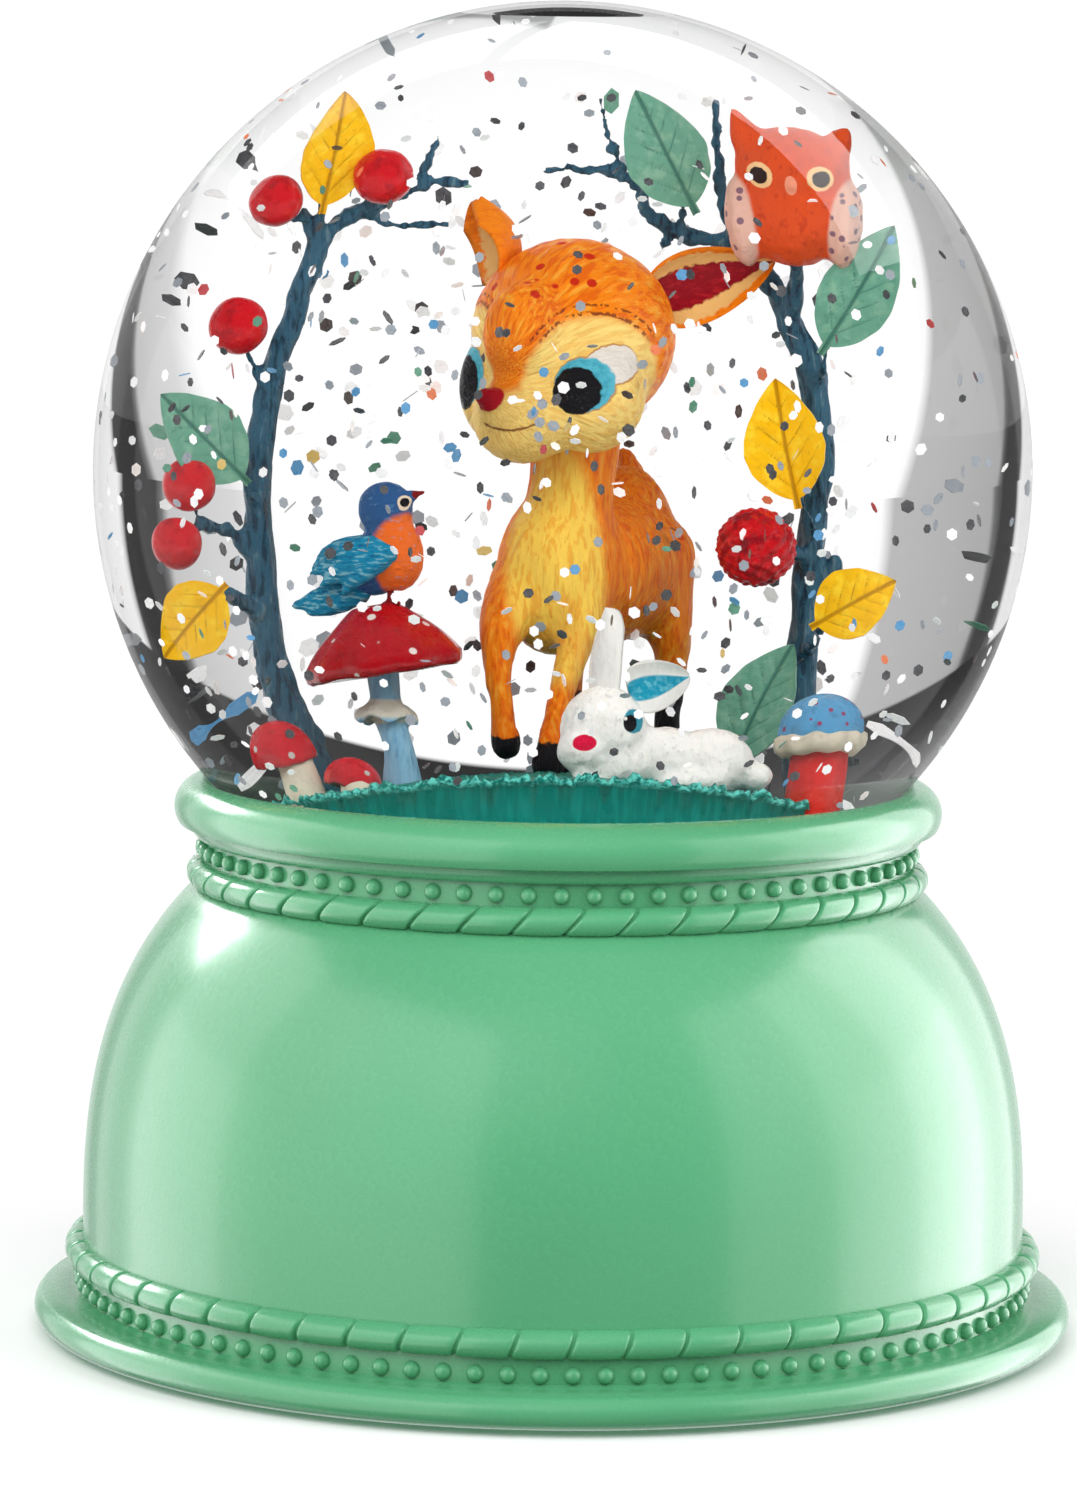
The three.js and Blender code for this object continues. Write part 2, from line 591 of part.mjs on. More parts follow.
for (const [name, x, way] of CELLS) {
  add(base, `battery_${name}`, cell(way), CELL_SKIN, [x, 0, CELL_Z]);
  add(base, `contact_spring_${name}`, contactSpring(way), STEEL, [x, 0, CELL_Z]);
  add(base, `contact_plate_${name}`, contactPlate(way), STEEL, [x, 0, CELL_Z]);
}
add(base, "switch_body", switchBody(), DARK_PLASTIC);
add(base, "switch_slider", switchSlider(), WHITE_PLASTIC);
add(base, "led_board", rod(19, BOARD_Z, BOARD_Z + BOARD_THICK, 0, 0, 28), BOARD);
[90, 210, 330].forEach((angle, i) => {
  add(base, `led_${i + 1}`, led(), LED_CLEAR, [...onCircle(8, angle), LED_Z]);
});
add(base, "reflector_cup", reflectorCup(), WHITE_PLASTIC);
wire([[-15, 20, 23.2], [-16, 18, 27], [-12, 12, 31.1]], "wire_red", WIRE_RED);
wire([[37, 14, 10.4], [36, 12, 20], [24, 8, 28], [12, 5, 31.1]], "wire_black", WIRE_BLACK);

add(ball, "ball_gasket", gasket(), RUBBER);
add(ball, "ball_plug", ballPlug(), SILICONE);
add(ball, "ball_shell", ballShell(), BALL_CLEAR);
const mound = add(forest, "ground", ground(), TEAL);

const leftBark = add(forest, "left_tree", standing(leftTree(), mound), BARK);
const rightBark = add(forest, "right_tree", standing(rightTree(), mound), BARK);
const body = add(forest, "fawn_body", standing(fawnBody(), mound), FAWN_ORANGE);
const head = add(forest, "fawn_head", clearOf(fawnHead(), [body, rightBark]), FAWN_ORANGE);
add(forest, "rabbit", clearOf(standing(rabbit(), mound), [body]), RABBIT_WHITE);
const stalk = add(forest, "tall_mushroom_stalk", standing(tallMushroomStalk(), mound), STALK_BLUE);
const cap = add(forest, "tall_mushroom_cap", clearOf(tallMushroomCap(), [stalk]), CAP_RED);
add(forest, "bird", clearOf(bird(), [cap, head]), BIRD_BLUE);

const owlBody = add(forest, "owl", clearOf(owl(), [rightBark]), OWL_ORANGE);
const berries = [
  ["berry_top_left", [-23.4, 1.4, 112.4], 2.4],
  ["berry_top_middle", [-14.6, 1, 114.2], 2.5],
  ["berry_left", [-25.8, 2, 102], 2.5],
  ["berry_low_upper", [-30, 0, 89.5], 2.4],
  ["berry_low_lower", [-31.1, 0, 84.7], 2.35],
].map(([name, centre, radius]) =>
  add(forest, name, clearOf(egg(centre, Array(3).fill(radius)), [leftBark]), BERRY_RED),
);
const fruit = add(forest, "raspberry", clearOf(raspberry(), [rightBark]), BERRY_RED);

const LEAVES = [
  ["leaf_yellow_top", [-19.4, 2, 111.6], [-18.6, 2, 122], 5.6, LEAF_YELLOW],
  ["leaf_green_left", [-25.2, 0, 90], [-32.6, 0, 96.6], 5.4, LEAF_GREEN],
  ["leaf_yellow_low_left", [-27.6, -3, 81.2], [-33.6, -3, 74.6], 5.6, LEAF_YELLOW],
  ["leaf_green_top", [10, 4, 111.2], [5.8, 4, 120.4], 5.6, LEAF_GREEN],
  ["leaf_green_right", [20, 2, 100.6], [26, 2, 110.4], 5.4, LEAF_GREEN],
  ["leaf_yellow_right", [18.6, 0, 88.6], [17, 0, 97.4], 5.6, LEAF_YELLOW],
  ["leaf_yellow_low_right", [20.2, -3, 78.8], [26.6, -3, 82.6], 5.2, LEAF_YELLOW],
  ["leaf_green_ground", [14, 0, 67.6], [18, 0, 77.2], 5.4, LEAF_GREEN],
];
for (const [name, stem, tip, width, material] of LEAVES) {
  const neighbours = [leftBark, rightBark, owlBody, fruit, head, ...berries];
  add(forest, name, clearOf(standing(leaf(stem, tip, width), mound), neighbours), material);
}

const SMALL_MUSHROOMS = [
  ["red_mushroom", [-22.4, -9.8], 3.5, 3, 2, 4, CAP_RED],
  ["small_red_mushroom", [-18, -13.2], 2.8, 2.2, 1.3, 0.6, CAP_RED],
  ["blue_mushroom", [21.6, -10], 3.9, 4.6, 2.8, 4.2, CAP_BLUE],
];
for (const [name, place, capRadius, capHeight, stalkRadius, capBase, material] of SMALL_MUSHROOMS) {
  const pieces = smallMushroom(place, capRadius, capHeight, stalkRadius, capBase);
  add(forest, name, standing(join([pieces.cap, pieces.stalk]), mound), material);
}

export default part;
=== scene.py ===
import math
import random

import bmesh
import bpy
import numpy as np
from mathutils import Euler, Matrix, Vector, noise

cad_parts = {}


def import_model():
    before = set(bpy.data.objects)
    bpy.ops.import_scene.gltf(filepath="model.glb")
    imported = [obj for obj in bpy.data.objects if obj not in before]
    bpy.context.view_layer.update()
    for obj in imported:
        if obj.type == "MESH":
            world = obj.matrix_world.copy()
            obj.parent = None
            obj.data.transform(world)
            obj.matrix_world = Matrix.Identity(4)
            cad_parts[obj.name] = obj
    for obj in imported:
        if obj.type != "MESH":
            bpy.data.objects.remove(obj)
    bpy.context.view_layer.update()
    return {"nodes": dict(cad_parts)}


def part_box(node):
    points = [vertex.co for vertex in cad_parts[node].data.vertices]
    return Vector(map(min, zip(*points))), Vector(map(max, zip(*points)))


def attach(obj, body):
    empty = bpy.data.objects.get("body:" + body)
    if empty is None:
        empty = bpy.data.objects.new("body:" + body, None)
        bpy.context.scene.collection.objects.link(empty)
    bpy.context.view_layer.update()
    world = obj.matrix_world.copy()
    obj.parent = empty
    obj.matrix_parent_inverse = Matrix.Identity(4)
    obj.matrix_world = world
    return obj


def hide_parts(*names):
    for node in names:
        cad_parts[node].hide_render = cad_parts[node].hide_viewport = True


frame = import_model()

# Everything below is written in millimetres of the shared frame: +Z up, the front faces -Y.
MM = 0.001


def box_mm(node):
    low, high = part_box(node)
    return Vector(low) / MM, Vector(high) / MM


def round_box(node):
    """The middle of a node's box, and half its width."""
    low, high = box_mm(node)
    return (low + high) / 2, (high.x - low.x) / 2


SHELL_LOW, SHELL_HIGH = box_mm("ball_shell")
HOUSING_LOW, HOUSING_HIGH = box_mm("base_housing")
MOUND_LOW, MOUND_HIGH = box_mm("ground")
MOUND_CENTRE, MOUND_RADIUS = round_box("ground")
BALL_RADIUS = SHELL_HIGH.x
BALL_CENTRE = SHELL_HIGH.z - BALL_RADIUS
BALL_WALL = 2.3
BALL_INNER = BALL_RADIUS - BALL_WALL
FLANGE_RADIUS = HOUSING_HIGH.x
DRUM_RADIUS = FLANGE_RADIUS - 5.1
MOUND_FALL = (0.0082, 0.0034)  # the mound falls by these times the distance squared, along x and y
WATER_TOP = BALL_CENTRE + BALL_INNER - 1.3  # a little air is left above the water
GLASS_IOR = 1.49
WATER_IOR = 1.34
SIDES = (-1, 1)


# ---------------------------------------------------------------- meshes
def stand_in(node, slot, *things):
    """Visual pieces take the place of one CAD node."""
    for thing in things:
        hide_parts(node)


def placed(name, data):
    thing = bpy.data.objects.new(name, data)
    bpy.context.scene.collection.objects.link(thing)
    return thing


def piece(name, points, faces, material, sharp=None, **marks):
    """A mesh object from points in mm, its faces turned outwards, with marks on its points."""
    mesh = bpy.data.meshes.new(name)
    mesh.from_pydata([tuple(MM * v for v in p) for p in points], [], faces)
    for key, values in marks.items():
        flat = len(np.shape(values)) == 1
        layer = mesh.attributes.new(key, "FLOAT" if flat else "FLOAT_VECTOR", "POINT")
        layer.data.foreach_set("value" if flat else "vector", np.ravel(values))
    shape = bmesh.new()
    shape.from_mesh(mesh)
    bmesh.ops.recalc_face_normals(shape, faces=shape.faces)
    shape.to_mesh(mesh)
    shape.free()
    mesh.shade_smooth()
    if sharp is not None:
        mesh.set_sharp_from_angle(angle=math.radians(sharp))
    mesh.materials.append(material)
    thing = placed(name, mesh)
    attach(thing, "globe")
    return thing


def joined(parts):
    """One list of points and one of faces from several (points, faces) pairs."""
    points, faces = [], []
    for some_points, some_faces in parts:
        start = len(points)
        points.extend(tuple(p) for p in some_points)
        faces.extend(tuple(start + i for i in face) for face in some_faces)
    return points, faces


def turns(count):
    return [2 * math.pi * k / count for k in range(count)]


def radial(angle, z=0.0):
    return Vector((math.cos(angle), math.sin(angle), z))


def radians(angles):
    return [math.radians(a) for a in angles]


def wrapped(rings, count, closed=True):
    """Faces between neighbouring rings of count points; closed also joins the last to the first."""
    faces = []
    for k in range(rings if closed else rings - 1):
        here, there = k * count, (k + 1) % rings * count
        for i in range(count):
            j = (i + 1) % count
            faces.append((here + i, there + i, there + j, here + j))
    return faces


def loft(rings):
    """A closed skin over rings that all have the same number of points, with a fan on each end."""
    count = len(rings[0])
    points = [tuple(p) for ring in rings for p in ring]
    faces = wrapped(len(rings), count, closed=False)
    for start, ring in ((0, rings[0]), ((len(rings) - 1) * count, rings[-1])):
        hub = len(points)
        points.append(tuple(np.mean(np.array(ring), axis=0)))
        faces.extend((start + i, start + (i + 1) % count, hub) for i in range(count))
    return points, faces


def revolve(outline, segments):
    """A closed outline of (radius, height) turned about the Z axis."""
    points = [(r * math.cos(a), r * math.sin(a), z) for a in turns(segments) for r, z in outline]
    return points, wrapped(segments, len(outline))


def welded(points, faces, gap=0.004):
    """The same skin with points that coincide made one, and faces without area dropped."""
    shape = bmesh.new()
    made = [shape.verts.new(p) for p in points]
    for face in faces:
        shape.faces.new([made[i] for i in face])
    bmesh.ops.remove_doubles(shape, verts=shape.verts, dist=gap)
    shape.verts.index_update()
    points = [tuple(v.co) for v in shape.verts]
    faces = [tuple(v.index for v in f.verts) for f in shape.faces]
    shape.free()
    return points, faces


def arc(centre_r, centre_z, radius, start, end, steps):
    """Points of a circular arc in the (radius, height) plane; angles in degrees from outwards."""
    angles = np.radians(np.linspace(start, end, steps + 1))
    return [(centre_r + radius * math.cos(a), centre_z + radius * math.sin(a)) for a in angles]


def spline(points, steps):
    """A Catmull-Rom curve through points of any dimension, steps per span."""
    p = [np.array(q, float) for q in points]
    p = [2 * p[0] - p[1]] + p + [2 * p[-1] - p[-2]]
    curve = []
    for i in range(1, len(p) - 2):
        for t in np.linspace(0, 1, steps, endpoint=False):
            a = 2 * p[i]
            b = p[i + 1] - p[i - 1]
            c = 2 * p[i - 1] - 5 * p[i] + 4 * p[i + 1] - p[i + 2]
            d = 3 * p[i] - p[i - 1] - 3 * p[i + 1] + p[i + 2]
            curve.append((a + b * t + c * t * t + d * t ** 3) / 2)
    curve.append(p[-2])
    return curve


def limb(points, radii, steps=8, sides=16):
    """A round limb through points, its thickness running through radii, with rounded ends."""
    run = spline([(*p, r) for p, r in zip(points, radii)], steps)
    centres = [Vector(q[:3]) for q in run]
    stations = []
    for i, q in enumerate(run):
        along = (centres[min(i + 1, len(run) - 1)] - centres[max(i - 1, 0)]).normalized()
        stations.append((centres[i], q[3], along))
    caps = radians((80, 55, 28))
    start, end = (
        [(centre + way * along * width * math.sin(a), width * math.cos(a), along) for a in caps]
        for way, (centre, width, along) in ((-1, stations[0]), (1, stations[-1]))
    )
    side = stations[0][2].orthogonal().normalized()
    rings = []
    for centre, width, along in start + stations + end[::-1]:
        side = (side - along * side.dot(along)).normalized()
        other = along.cross(side)
        rings.append([centre + (side * math.cos(a) + other * math.sin(a)) * width for a in turns(sides)])
    return loft(rings)


class Clay:
    """Soft forms that melt into one skin, the way a figure is modelled before it is cast."""

    def __init__(self):
        self.parts = []

    def egg(self, centre, radii, turn=(0, 0, 0)):
        shape = bmesh.new()
        bmesh.ops.create_icosphere(shape, subdivisions=4, radius=1)
        place = Matrix.Translation(centre) @ Euler(radians(turn)).to_matrix().to_4x4()
        shape.transform(place @ Matrix.Diagonal((*radii, 1)))
        shape.verts.index_update()
        faces = [[v.index for v in face.verts] for face in shape.faces]
        return self.skin([v.co.copy() for v in shape.verts], faces)

    def limb(self, points, radii, steps=8):
        return self.skin(*limb(points, radii, steps))

    def skin(self, points, faces):
        self.parts.append((points, faces))
        return self

    def model(self, name, material, coarse=0.5, melt=8, fine=0.3, polish=3, carve=None):
        """Melts the forms together, evens the skin out and carves it; carve(point) gives mm outwards."""
        mesh = bpy.data.meshes.new(name + "_forms")
        points, faces = joined(self.parts)
        mesh.from_pydata(points, [], faces)
        rough = placed(name + "_forms", mesh)
        for size, rounds in ((coarse, melt), (fine, polish)):
            remesh = rough.modifiers.new("remesh", "REMESH")
            remesh.mode = "VOXEL"
            remesh.voxel_size = size
            smooth = rough.modifiers.new("smooth", "SMOOTH")
            smooth.factor = 0.5
            smooth.iterations = rounds
        even = bpy.data.meshes.new_from_object(rough.evaluated_get(bpy.context.evaluated_depsgraph_get()))
        bpy.data.objects.remove(rough)
        where, normals = np.empty((2, len(even.vertices) * 3))
        even.vertices.foreach_get("co", where)
        even.vertex_normals.foreach_get("vector", normals)
        where, normals = where.reshape(-1, 3), normals.reshape(-1, 3)
        if carve:
            where = where + normals * np.array([carve(p) for p in where])[:, None]
        skin = [tuple(f.vertices) for f in even.polygons]
        bpy.data.meshes.remove(even)
        return piece(name, where.tolist(), skin, material)


def strokes(depth, across, along, seed=0.0):
    """Carved strokes that run up and down, depth in mm: noise per mm, across them and along them."""
    return lambda p: depth * noise.noise(Vector((p[0] * across + seed, p[1] * across, p[2] * along)))


def strokes_from(centre, fan, along):
    """Carved strokes that spread from one point, as fur does from a nose."""

    def depth(p):
        away = Vector(p) - Vector(centre)
        far = max(away.length, 0.01)
        return noise.noise(away / far * fan + Vector((0, 0, far * along)))

    return depth


# ---------------------------------------------------------------- materials
def ink(red, green, blue):
    """A colour named by its 0-255 screen values, as the linear colour that shaders use."""
    share = [v / 255 for v in (red, green, blue)]
    return tuple(v / 12.92 if v <= 0.04045 else ((v + 0.055) / 1.055) ** 2.4 for v in share) + (1.0,)


def darker(colour, share):
    return tuple(share * c for c in colour[:3]) + (1.0,)


def lighter(colour, share):
    return tuple(c + share * (1 - c) for c in colour[:3]) + (1.0,)


class Nodes:
    """Short names for building a node tree."""

    def __init__(self, tree):
        self.tree = tree

    def put(self, socket, value):
        if isinstance(value, bpy.types.NodeSocket):
            self.tree.links.new(value, socket)
        else:
            socket.default_value = value

    def node(self, kind, *values, **settings):
        """A new node whose first inputs take values in order; None leaves an input alone."""
        made = self.tree.nodes.new("ShaderNode" + kind)
        for key, value in settings.items():
            setattr(made, key, value)
        for socket, value in zip(made.inputs, values):
            if value is not None:
                self.put(socket, value)
        return made

    def fact(self, kind, output, **settings):
        return self.node(kind, **settings).outputs[output]

    def split(self, vector):
        parts = self.node("SeparateXYZ")
        self.put(parts.inputs[0], vector)
        return parts.outputs

    def math(self, operation, first, second=0.0):
        return self.node("Math", first, second, operation=operation).outputs[0]

    def both(self, first, second):
        return self.math("MULTIPLY", first, second)

    def plus(self, first, second):
        return self.math("ADD", first, second)

    def minus(self, first, second):
        return self.math("SUBTRACT", first, second)

    def most(self, first, second):
        return self.math("MAXIMUM", first, second)

    def vector(self, operation, first, second=(0, 0, 0)):
        made = self.node("VectorMath", first, second, operation=operation)
        return made.outputs["Value" if operation in ("LENGTH", "DOT_PRODUCT", "DISTANCE") else "Vector"]

    def scaled(self, vector, amount):
        return self.node("VectorMath", vector, None, None, amount, operation="SCALE").outputs["Vector"]

    def fade(self, value, start, end, low=0.0, high=1.0):
        """A smooth step from low, where value is start, to high, where it is end."""
        if start > end:
            start, end, low, high = end, start, high, low
        return self.node("MapRange", value, start, end, low, high, interpolation_type="SMOOTHSTEP").outputs[0]

    def mixed(self, share, under, over):
        made = self.node("Mix", share, data_type="RGBA")
        self.put(made.inputs[6], under)
        self.put(made.inputs[7], over)
        return made.outputs[2]

    def one_of(self, share, first, second):
        """The first surface, or the second one by a share of it."""
        return self.node("MixShader", share, first, second).outputs[0]


class Paint(Nodes):
    """A painted surface: colours laid over each other through soft-edged masks placed in mm."""

    def __init__(self, name, colour, wobble=0.0):
        self.material = bpy.data.materials.new(name)
        self.material.use_nodes = True
        super().__init__(self.material.node_tree)
        self.shader = self.tree.nodes["Principled BSDF"]
        self.place = self.scaled(self.fact("TexCoord", "Object"), 1 / MM)
        self.edge_place = self.place
        if wobble:
            wander = self.node("TexNoise", self.place, None, 1.4, 3.0).outputs["Color"]
            shift = self.scaled(self.vector("SUBTRACT", wander, (0.5, 0.5, 0.5)), wobble)
            self.edge_place = self.vector("ADD", self.place, shift)
        self.colour = colour
        self.height = 0.0

    def noise(self, scale, detail=3.0, stretch=(1, 1, 1), seed=0.0):
        moved = self.vector("ADD", self.vector("MULTIPLY", self.place, stretch), (seed, seed * 2, seed * 3))
        return self.node("TexNoise", moved, None, scale, detail, 0.55).outputs[0]

    def fanned(self, centre, fan, along):
        """Noise in strokes that spread from centre."""
        away = self.vector("SUBTRACT", self.place, centre)
        slide = self.node("CombineXYZ", None, None, self.both(self.vector("LENGTH", away), along)).outputs[0]
        spread = self.scaled(self.vector("NORMALIZE", away), fan)
        return self.node("TexNoise", self.vector("ADD", spread, slide), None, 1.0, 3.0).outputs[0]

    def within(self, centre, radii, soft=0.12, turn=(0, 0, 0)):
        """1 inside an ellipsoid and 0 outside it; soft is the width of the edge as a share of the radii."""
        local = self.node("Mapping", self.edge_place, centre, radians(turn), radii, vector_type="TEXTURE")
        return self.fade(self.vector("LENGTH", local.outputs[0]), 1 + soft / 2, 1 - soft / 2)

    def shell(self, centre, radius, half_width, soft=0.1):
        """1 near the skin of a sphere."""
        off = self.math("ABSOLUTE", self.minus(self.vector("DISTANCE", self.edge_place, centre), radius))
        return self.fade(off, half_width + soft, half_width - soft)

    def beyond(self, direction, level, soft=0.3):
        """1 past a plane at level mm along direction."""
        return self.fade(self.vector("DOT_PRODUCT", self.edge_place, direction), level - soft, level + soft)

    def dots(self, per_mm, radius, seed=0.0):
        """1 inside scattered round dots; radius in mm."""
        made = self.node("TexVoronoi", self.vector("ADD", self.place, (seed, seed, seed)), None, per_mm)
        self.put(made.inputs["Randomness"], 0.85)
        edge = radius * per_mm
        return self.fade(made.outputs["Distance"], edge * 1.12, edge * 0.88)

    def less(self, mask, taken):
        return self.both(mask, self.minus(1.0, taken))

    def lay(self, mask, colour, share=1.0):
        amount = mask if share == 1.0 else self.both(mask, share)
        self.colour = self.mixed(amount, self.colour, colour)

    def mottle(self, scale, start, end, colour, share=1.0, detail=4.0, seed=0.0):
        """A colour in patches, where a noise of that scale rises from start to end."""
        self.lay(self.fade(self.noise(scale, detail, seed=seed), start, end), colour, share)

    def raise_by(self, value, amount):
        """Adds value times amount, in mm, to the fine relief."""
        self.height = self.plus(self.both(value, amount), self.height)

    def done(self, rough=0.4, vary=0.1, coat=0.0, metal=0.0, scatter=0.0, mirror=0.5):
        """Finishes the surface: uneven gloss, fine relief and a clear coat."""
        low, high = max(rough - vary, 0.02), min(rough + vary, 1.0)
        gloss = self.fade(self.noise(0.9, seed=7.0), 0.3, 0.7, low, high)
        values = {"Base Color": self.colour, "Roughness": gloss, "Specular IOR Level": mirror}
        values |= {"Metallic": metal, "Coat Weight": coat, "Coat Roughness": 0.12}
        if scatter:
            values |= {"Subsurface Weight": scatter, "Subsurface Radius": (1.0, 0.6, 0.4)}
            values["Subsurface Scale"] = 1.2 * MM
        if not isinstance(self.height, float):
            bump = self.node("Bump", None, MM)
            self.put(bump.inputs["Height"], self.height)
            values["Normal"] = bump.outputs[0]
        for key, value in values.items():
            self.put(self.shader.inputs[key], value)
        return self.material


ORANGE = ink(240, 130, 16)
DEEP_ORANGE = ink(214, 74, 8)
YELLOW = ink(248, 206, 84)
CREAM = ink(236, 190, 116)
BLACK = ink(20, 19, 22)
OFF_WHITE = ink(238, 236, 230)
DARK_RED = ink(120, 24, 26)
# How the painted figures take the light.
SATIN = {"rough": 0.38, "vary": 0.1, "coat": 0.03, "mirror": 0.12}
FEATHER = {"rough": 0.36, "vary": 0.1, "coat": 0.05, "mirror": 0.12}


def plain_paint(name, colour):
    """One brushed colour with a lighter and a darker tone and a little relief."""
    paint = Paint(name, colour)
    paint.mottle(1.1, 0.5, 0.72, darker(colour, 0.72), 0.55)
    paint.mottle(1.8, 0.58, 0.75, lighter(colour, 0.12), 0.5, seed=9.0)
    paint.raise_by(paint.noise(2.0, 4.0, seed=3.0), 0.10)
    return paint.done(rough=0.4, vary=0.08, coat=0.15, mirror=0.15)


# ---------------------------------------------------------------- base casting
LOWER_BAND = FLANGE_RADIUS - 5
LOWER_ROPE_Z = HOUSING_LOW.z + 7.9
COLLAR_TOP = HOUSING_HIGH.z - 0.1
UPPER_BAND = BALL_RADIUS - 11.9
UPPER_ROPE_Z = COLLAR_TOP - 9.9
DRUM_FOOT = 12
DRUM_RISE = 47.3
WAIST_Z = 46.8
HOUSING_WALL = 2.8
COVER_ROOM = 48.9
COVER_TOP = 3.8
SHELF_TOP = 46.4
SHELF_BOTTOM = 43.8
SHELF_HOLE = 29
NECK_ROOM = 35.2


def drum_radius(z):
    return DRUM_RADIUS * (1 - (max(z - DRUM_FOOT, 0) / DRUM_RISE) ** 2.5) ** 0.4


def drum_wall(offset, start, end, steps):
    return [(drum_radius(z) - offset, z) for z in np.linspace(start, end, steps + 1)]


def casting_outline():
    """Outside from the flange up to the collar, then the inside back down."""
    collar_r, collar_z = UPPER_BAND + 0.3, COLLAR_TOP - 2.9
    outside = [(FLANGE_RADIUS - 1.8, HOUSING_LOW.z)]
    outside += arc(FLANGE_RADIUS - 1.75, HOUSING_LOW.z + 1.85, 1.75, -88, 62, 14)
    outside += [(LOWER_BAND + 1.4, 4.15), (LOWER_BAND + 0.5, 4.2), (LOWER_BAND, 4.45)]
    outside += [(LOWER_BAND, LOWER_ROPE_Z + rise) for rise in (-1, 0, 1.2)]
    outside += [(DRUM_RADIUS, LOWER_ROPE_Z + 1.8)]
    outside += drum_wall(0, DRUM_FOOT - 1.2, WAIST_Z - 0.4, 46)
    outside += [(collar_r, UPPER_ROPE_Z - 1.1), (UPPER_BAND, UPPER_ROPE_Z), (UPPER_BAND, COLLAR_TOP - 6.1)]
    outside += arc(collar_r - 0.1, collar_z - 2.1, 1.15, -80, 10, 6)
    outside += arc(collar_r, collar_z, 2.9, -32, 92, 22)
    inside = [(UPPER_BAND - 0.4, COLLAR_TOP - 0.5), (UPPER_BAND - 1.3, COLLAR_TOP - 2.2)]
    inside += [(NECK_ROOM, COLLAR_TOP - 3.4), (NECK_ROOM, SHELF_TOP)]
    inside += [(SHELF_HOLE, SHELF_TOP), (SHELF_HOLE, SHELF_BOTTOM)]
    inside += drum_wall(HOUSING_WALL, SHELF_BOTTOM, DRUM_FOOT, 16)
    inside += [(DRUM_RADIUS - HOUSING_WALL, COVER_TOP), (COVER_ROOM, COVER_TOP), (COVER_ROOM, HOUSING_LOW.z)]
    return outside + inside


def bead_row(ring, height, size, count):
    """A ring of round beads, each pressed a little flat against its band."""
    beads = []
    for turn in turns(count):
        out, across = radial(turn), Vector((-math.sin(turn), math.cos(turn), 0))
        rings = []
        for lift in np.radians(np.linspace(-78, 78, 9)):
            level = out * (ring + size * 0.92 * math.sin(lift)) + Vector((0, 0, height))
            wide, up = across * size * math.cos(lift), Vector((0, 0, size * math.cos(lift)))
            rings.append([level + wide * math.cos(a) + up * math.sin(a) for a in turns(14)])
        beads.append(loft(rings))
    return joined(beads)


# Where the skin of one strand is sampled, from one groove to the next: close together at the grooves.
STRAND = (0, 0.012, 0.024, 0.036, 0.05, 0.07, 0.1, 0.16, 0.3,
          0.5, 0.7, 0.84, 0.9, 0.93, 0.95, 0.964, 0.976, 0.988)
GROOVE_WIDTH = 0.035  # as a share of one strand


def rope(ring, height, thick, count, slant, groove, sides=26):
    """A rope moulding: a round cord cut by narrow slanting grooves."""
    points = []
    for strand in range(count):
        for share in STRAND:
            from_groove = min(share, 1 - share) / GROOVE_WIDTH
            cut = groove * math.exp(-from_groove ** 2) + 0.25 * groove * math.exp(-from_groove / 4)
            for a in turns(sides):
                turn = 2 * math.pi * (strand + share + slant * math.sin(a)) / count
                radius = thick - cut * (0.35 + 0.65 * max(math.cos(a), 0) ** 0.5)
                lift = Vector((0, 0, height + radius * 0.92 * math.sin(a)))
                points.append(radial(turn) * (ring + radius * math.cos(a)) + lift)
    return points, wrapped(count * len(STRAND), sides)


def base_casting():
    paint = Paint("green_resin_cast", ink(75, 148, 105))
    paint.mottle(0.03, 0.4, 0.65, ink(80, 154, 110), 0.5, 2.0)
    paint.raise_by(paint.noise(0.35, 2.0, seed=3.0), 0.008)
    paint.raise_by(paint.noise(2.0, 1.0, seed=5.0), 0.0008)
    green = paint.done(rough=0.27, vary=0.02, coat=0.3)
    lower = joined([
        bead_row(LOWER_BAND + 0.05, LOWER_ROPE_Z - 3.1, 0.88, 98),
        rope(LOWER_BAND + 0.2, LOWER_ROPE_Z, 1.6, 57, 0.08, 0.5),
    ])
    upper = joined([
        bead_row(UPPER_BAND + 0.2, UPPER_ROPE_Z + 2.6, 0.84, 72),
        rope(UPPER_BAND + 0.3, UPPER_ROPE_Z, 1.6, 45, 0.2, 0.5),
    ])
    shell = piece("base_casting", *revolve(casting_outline(), 288), green, sharp=40)
    mouldings = [piece("lower_moulding", *lower, green), piece("upper_moulding", *upper, green)]
    stand_in("base_housing", "green_resin", shell, *mouldings)


# ---------------------------------------------------------------- clear ball
REFLECTS = 0.45  # share of the mirror light kept, as if seen through a polarising filter


def see_through(name, ior):
    """A clear surface that bends sight lines but lets light straight through to what it holds."""
    material = bpy.data.materials.new(name)
    material.use_nodes = True
    nodes = Nodes(material.node_tree)
    nodes.tree.nodes.clear()
    place = nodes.scaled(nodes.fact("TexCoord", "Object"), 1 / MM)
    flow = nodes.node("TexNoise", place, None, 0.04).outputs[0]
    bent = nodes.node("BsdfRefraction", None, 0.0, ior).outputs[0]
    mirror = nodes.node("BsdfAnisotropic", None, nodes.fade(flow, 0.2, 0.8, 0.0, 0.02)).outputs[0]
    fresnel = nodes.node("Fresnel", ior).outputs[0]
    whole = nodes.math("GREATER_THAN", fresnel, 0.97)
    surface = nodes.one_of(nodes.most(whole, nodes.both(fresnel, REFLECTS)), bent, mirror)
    clear = nodes.fact("BsdfTransparent", 0)
    nodes.node("OutputMaterial", nodes.one_of(nodes.fact("LightPath", "Is Shadow Ray"), surface, clear))
    return material


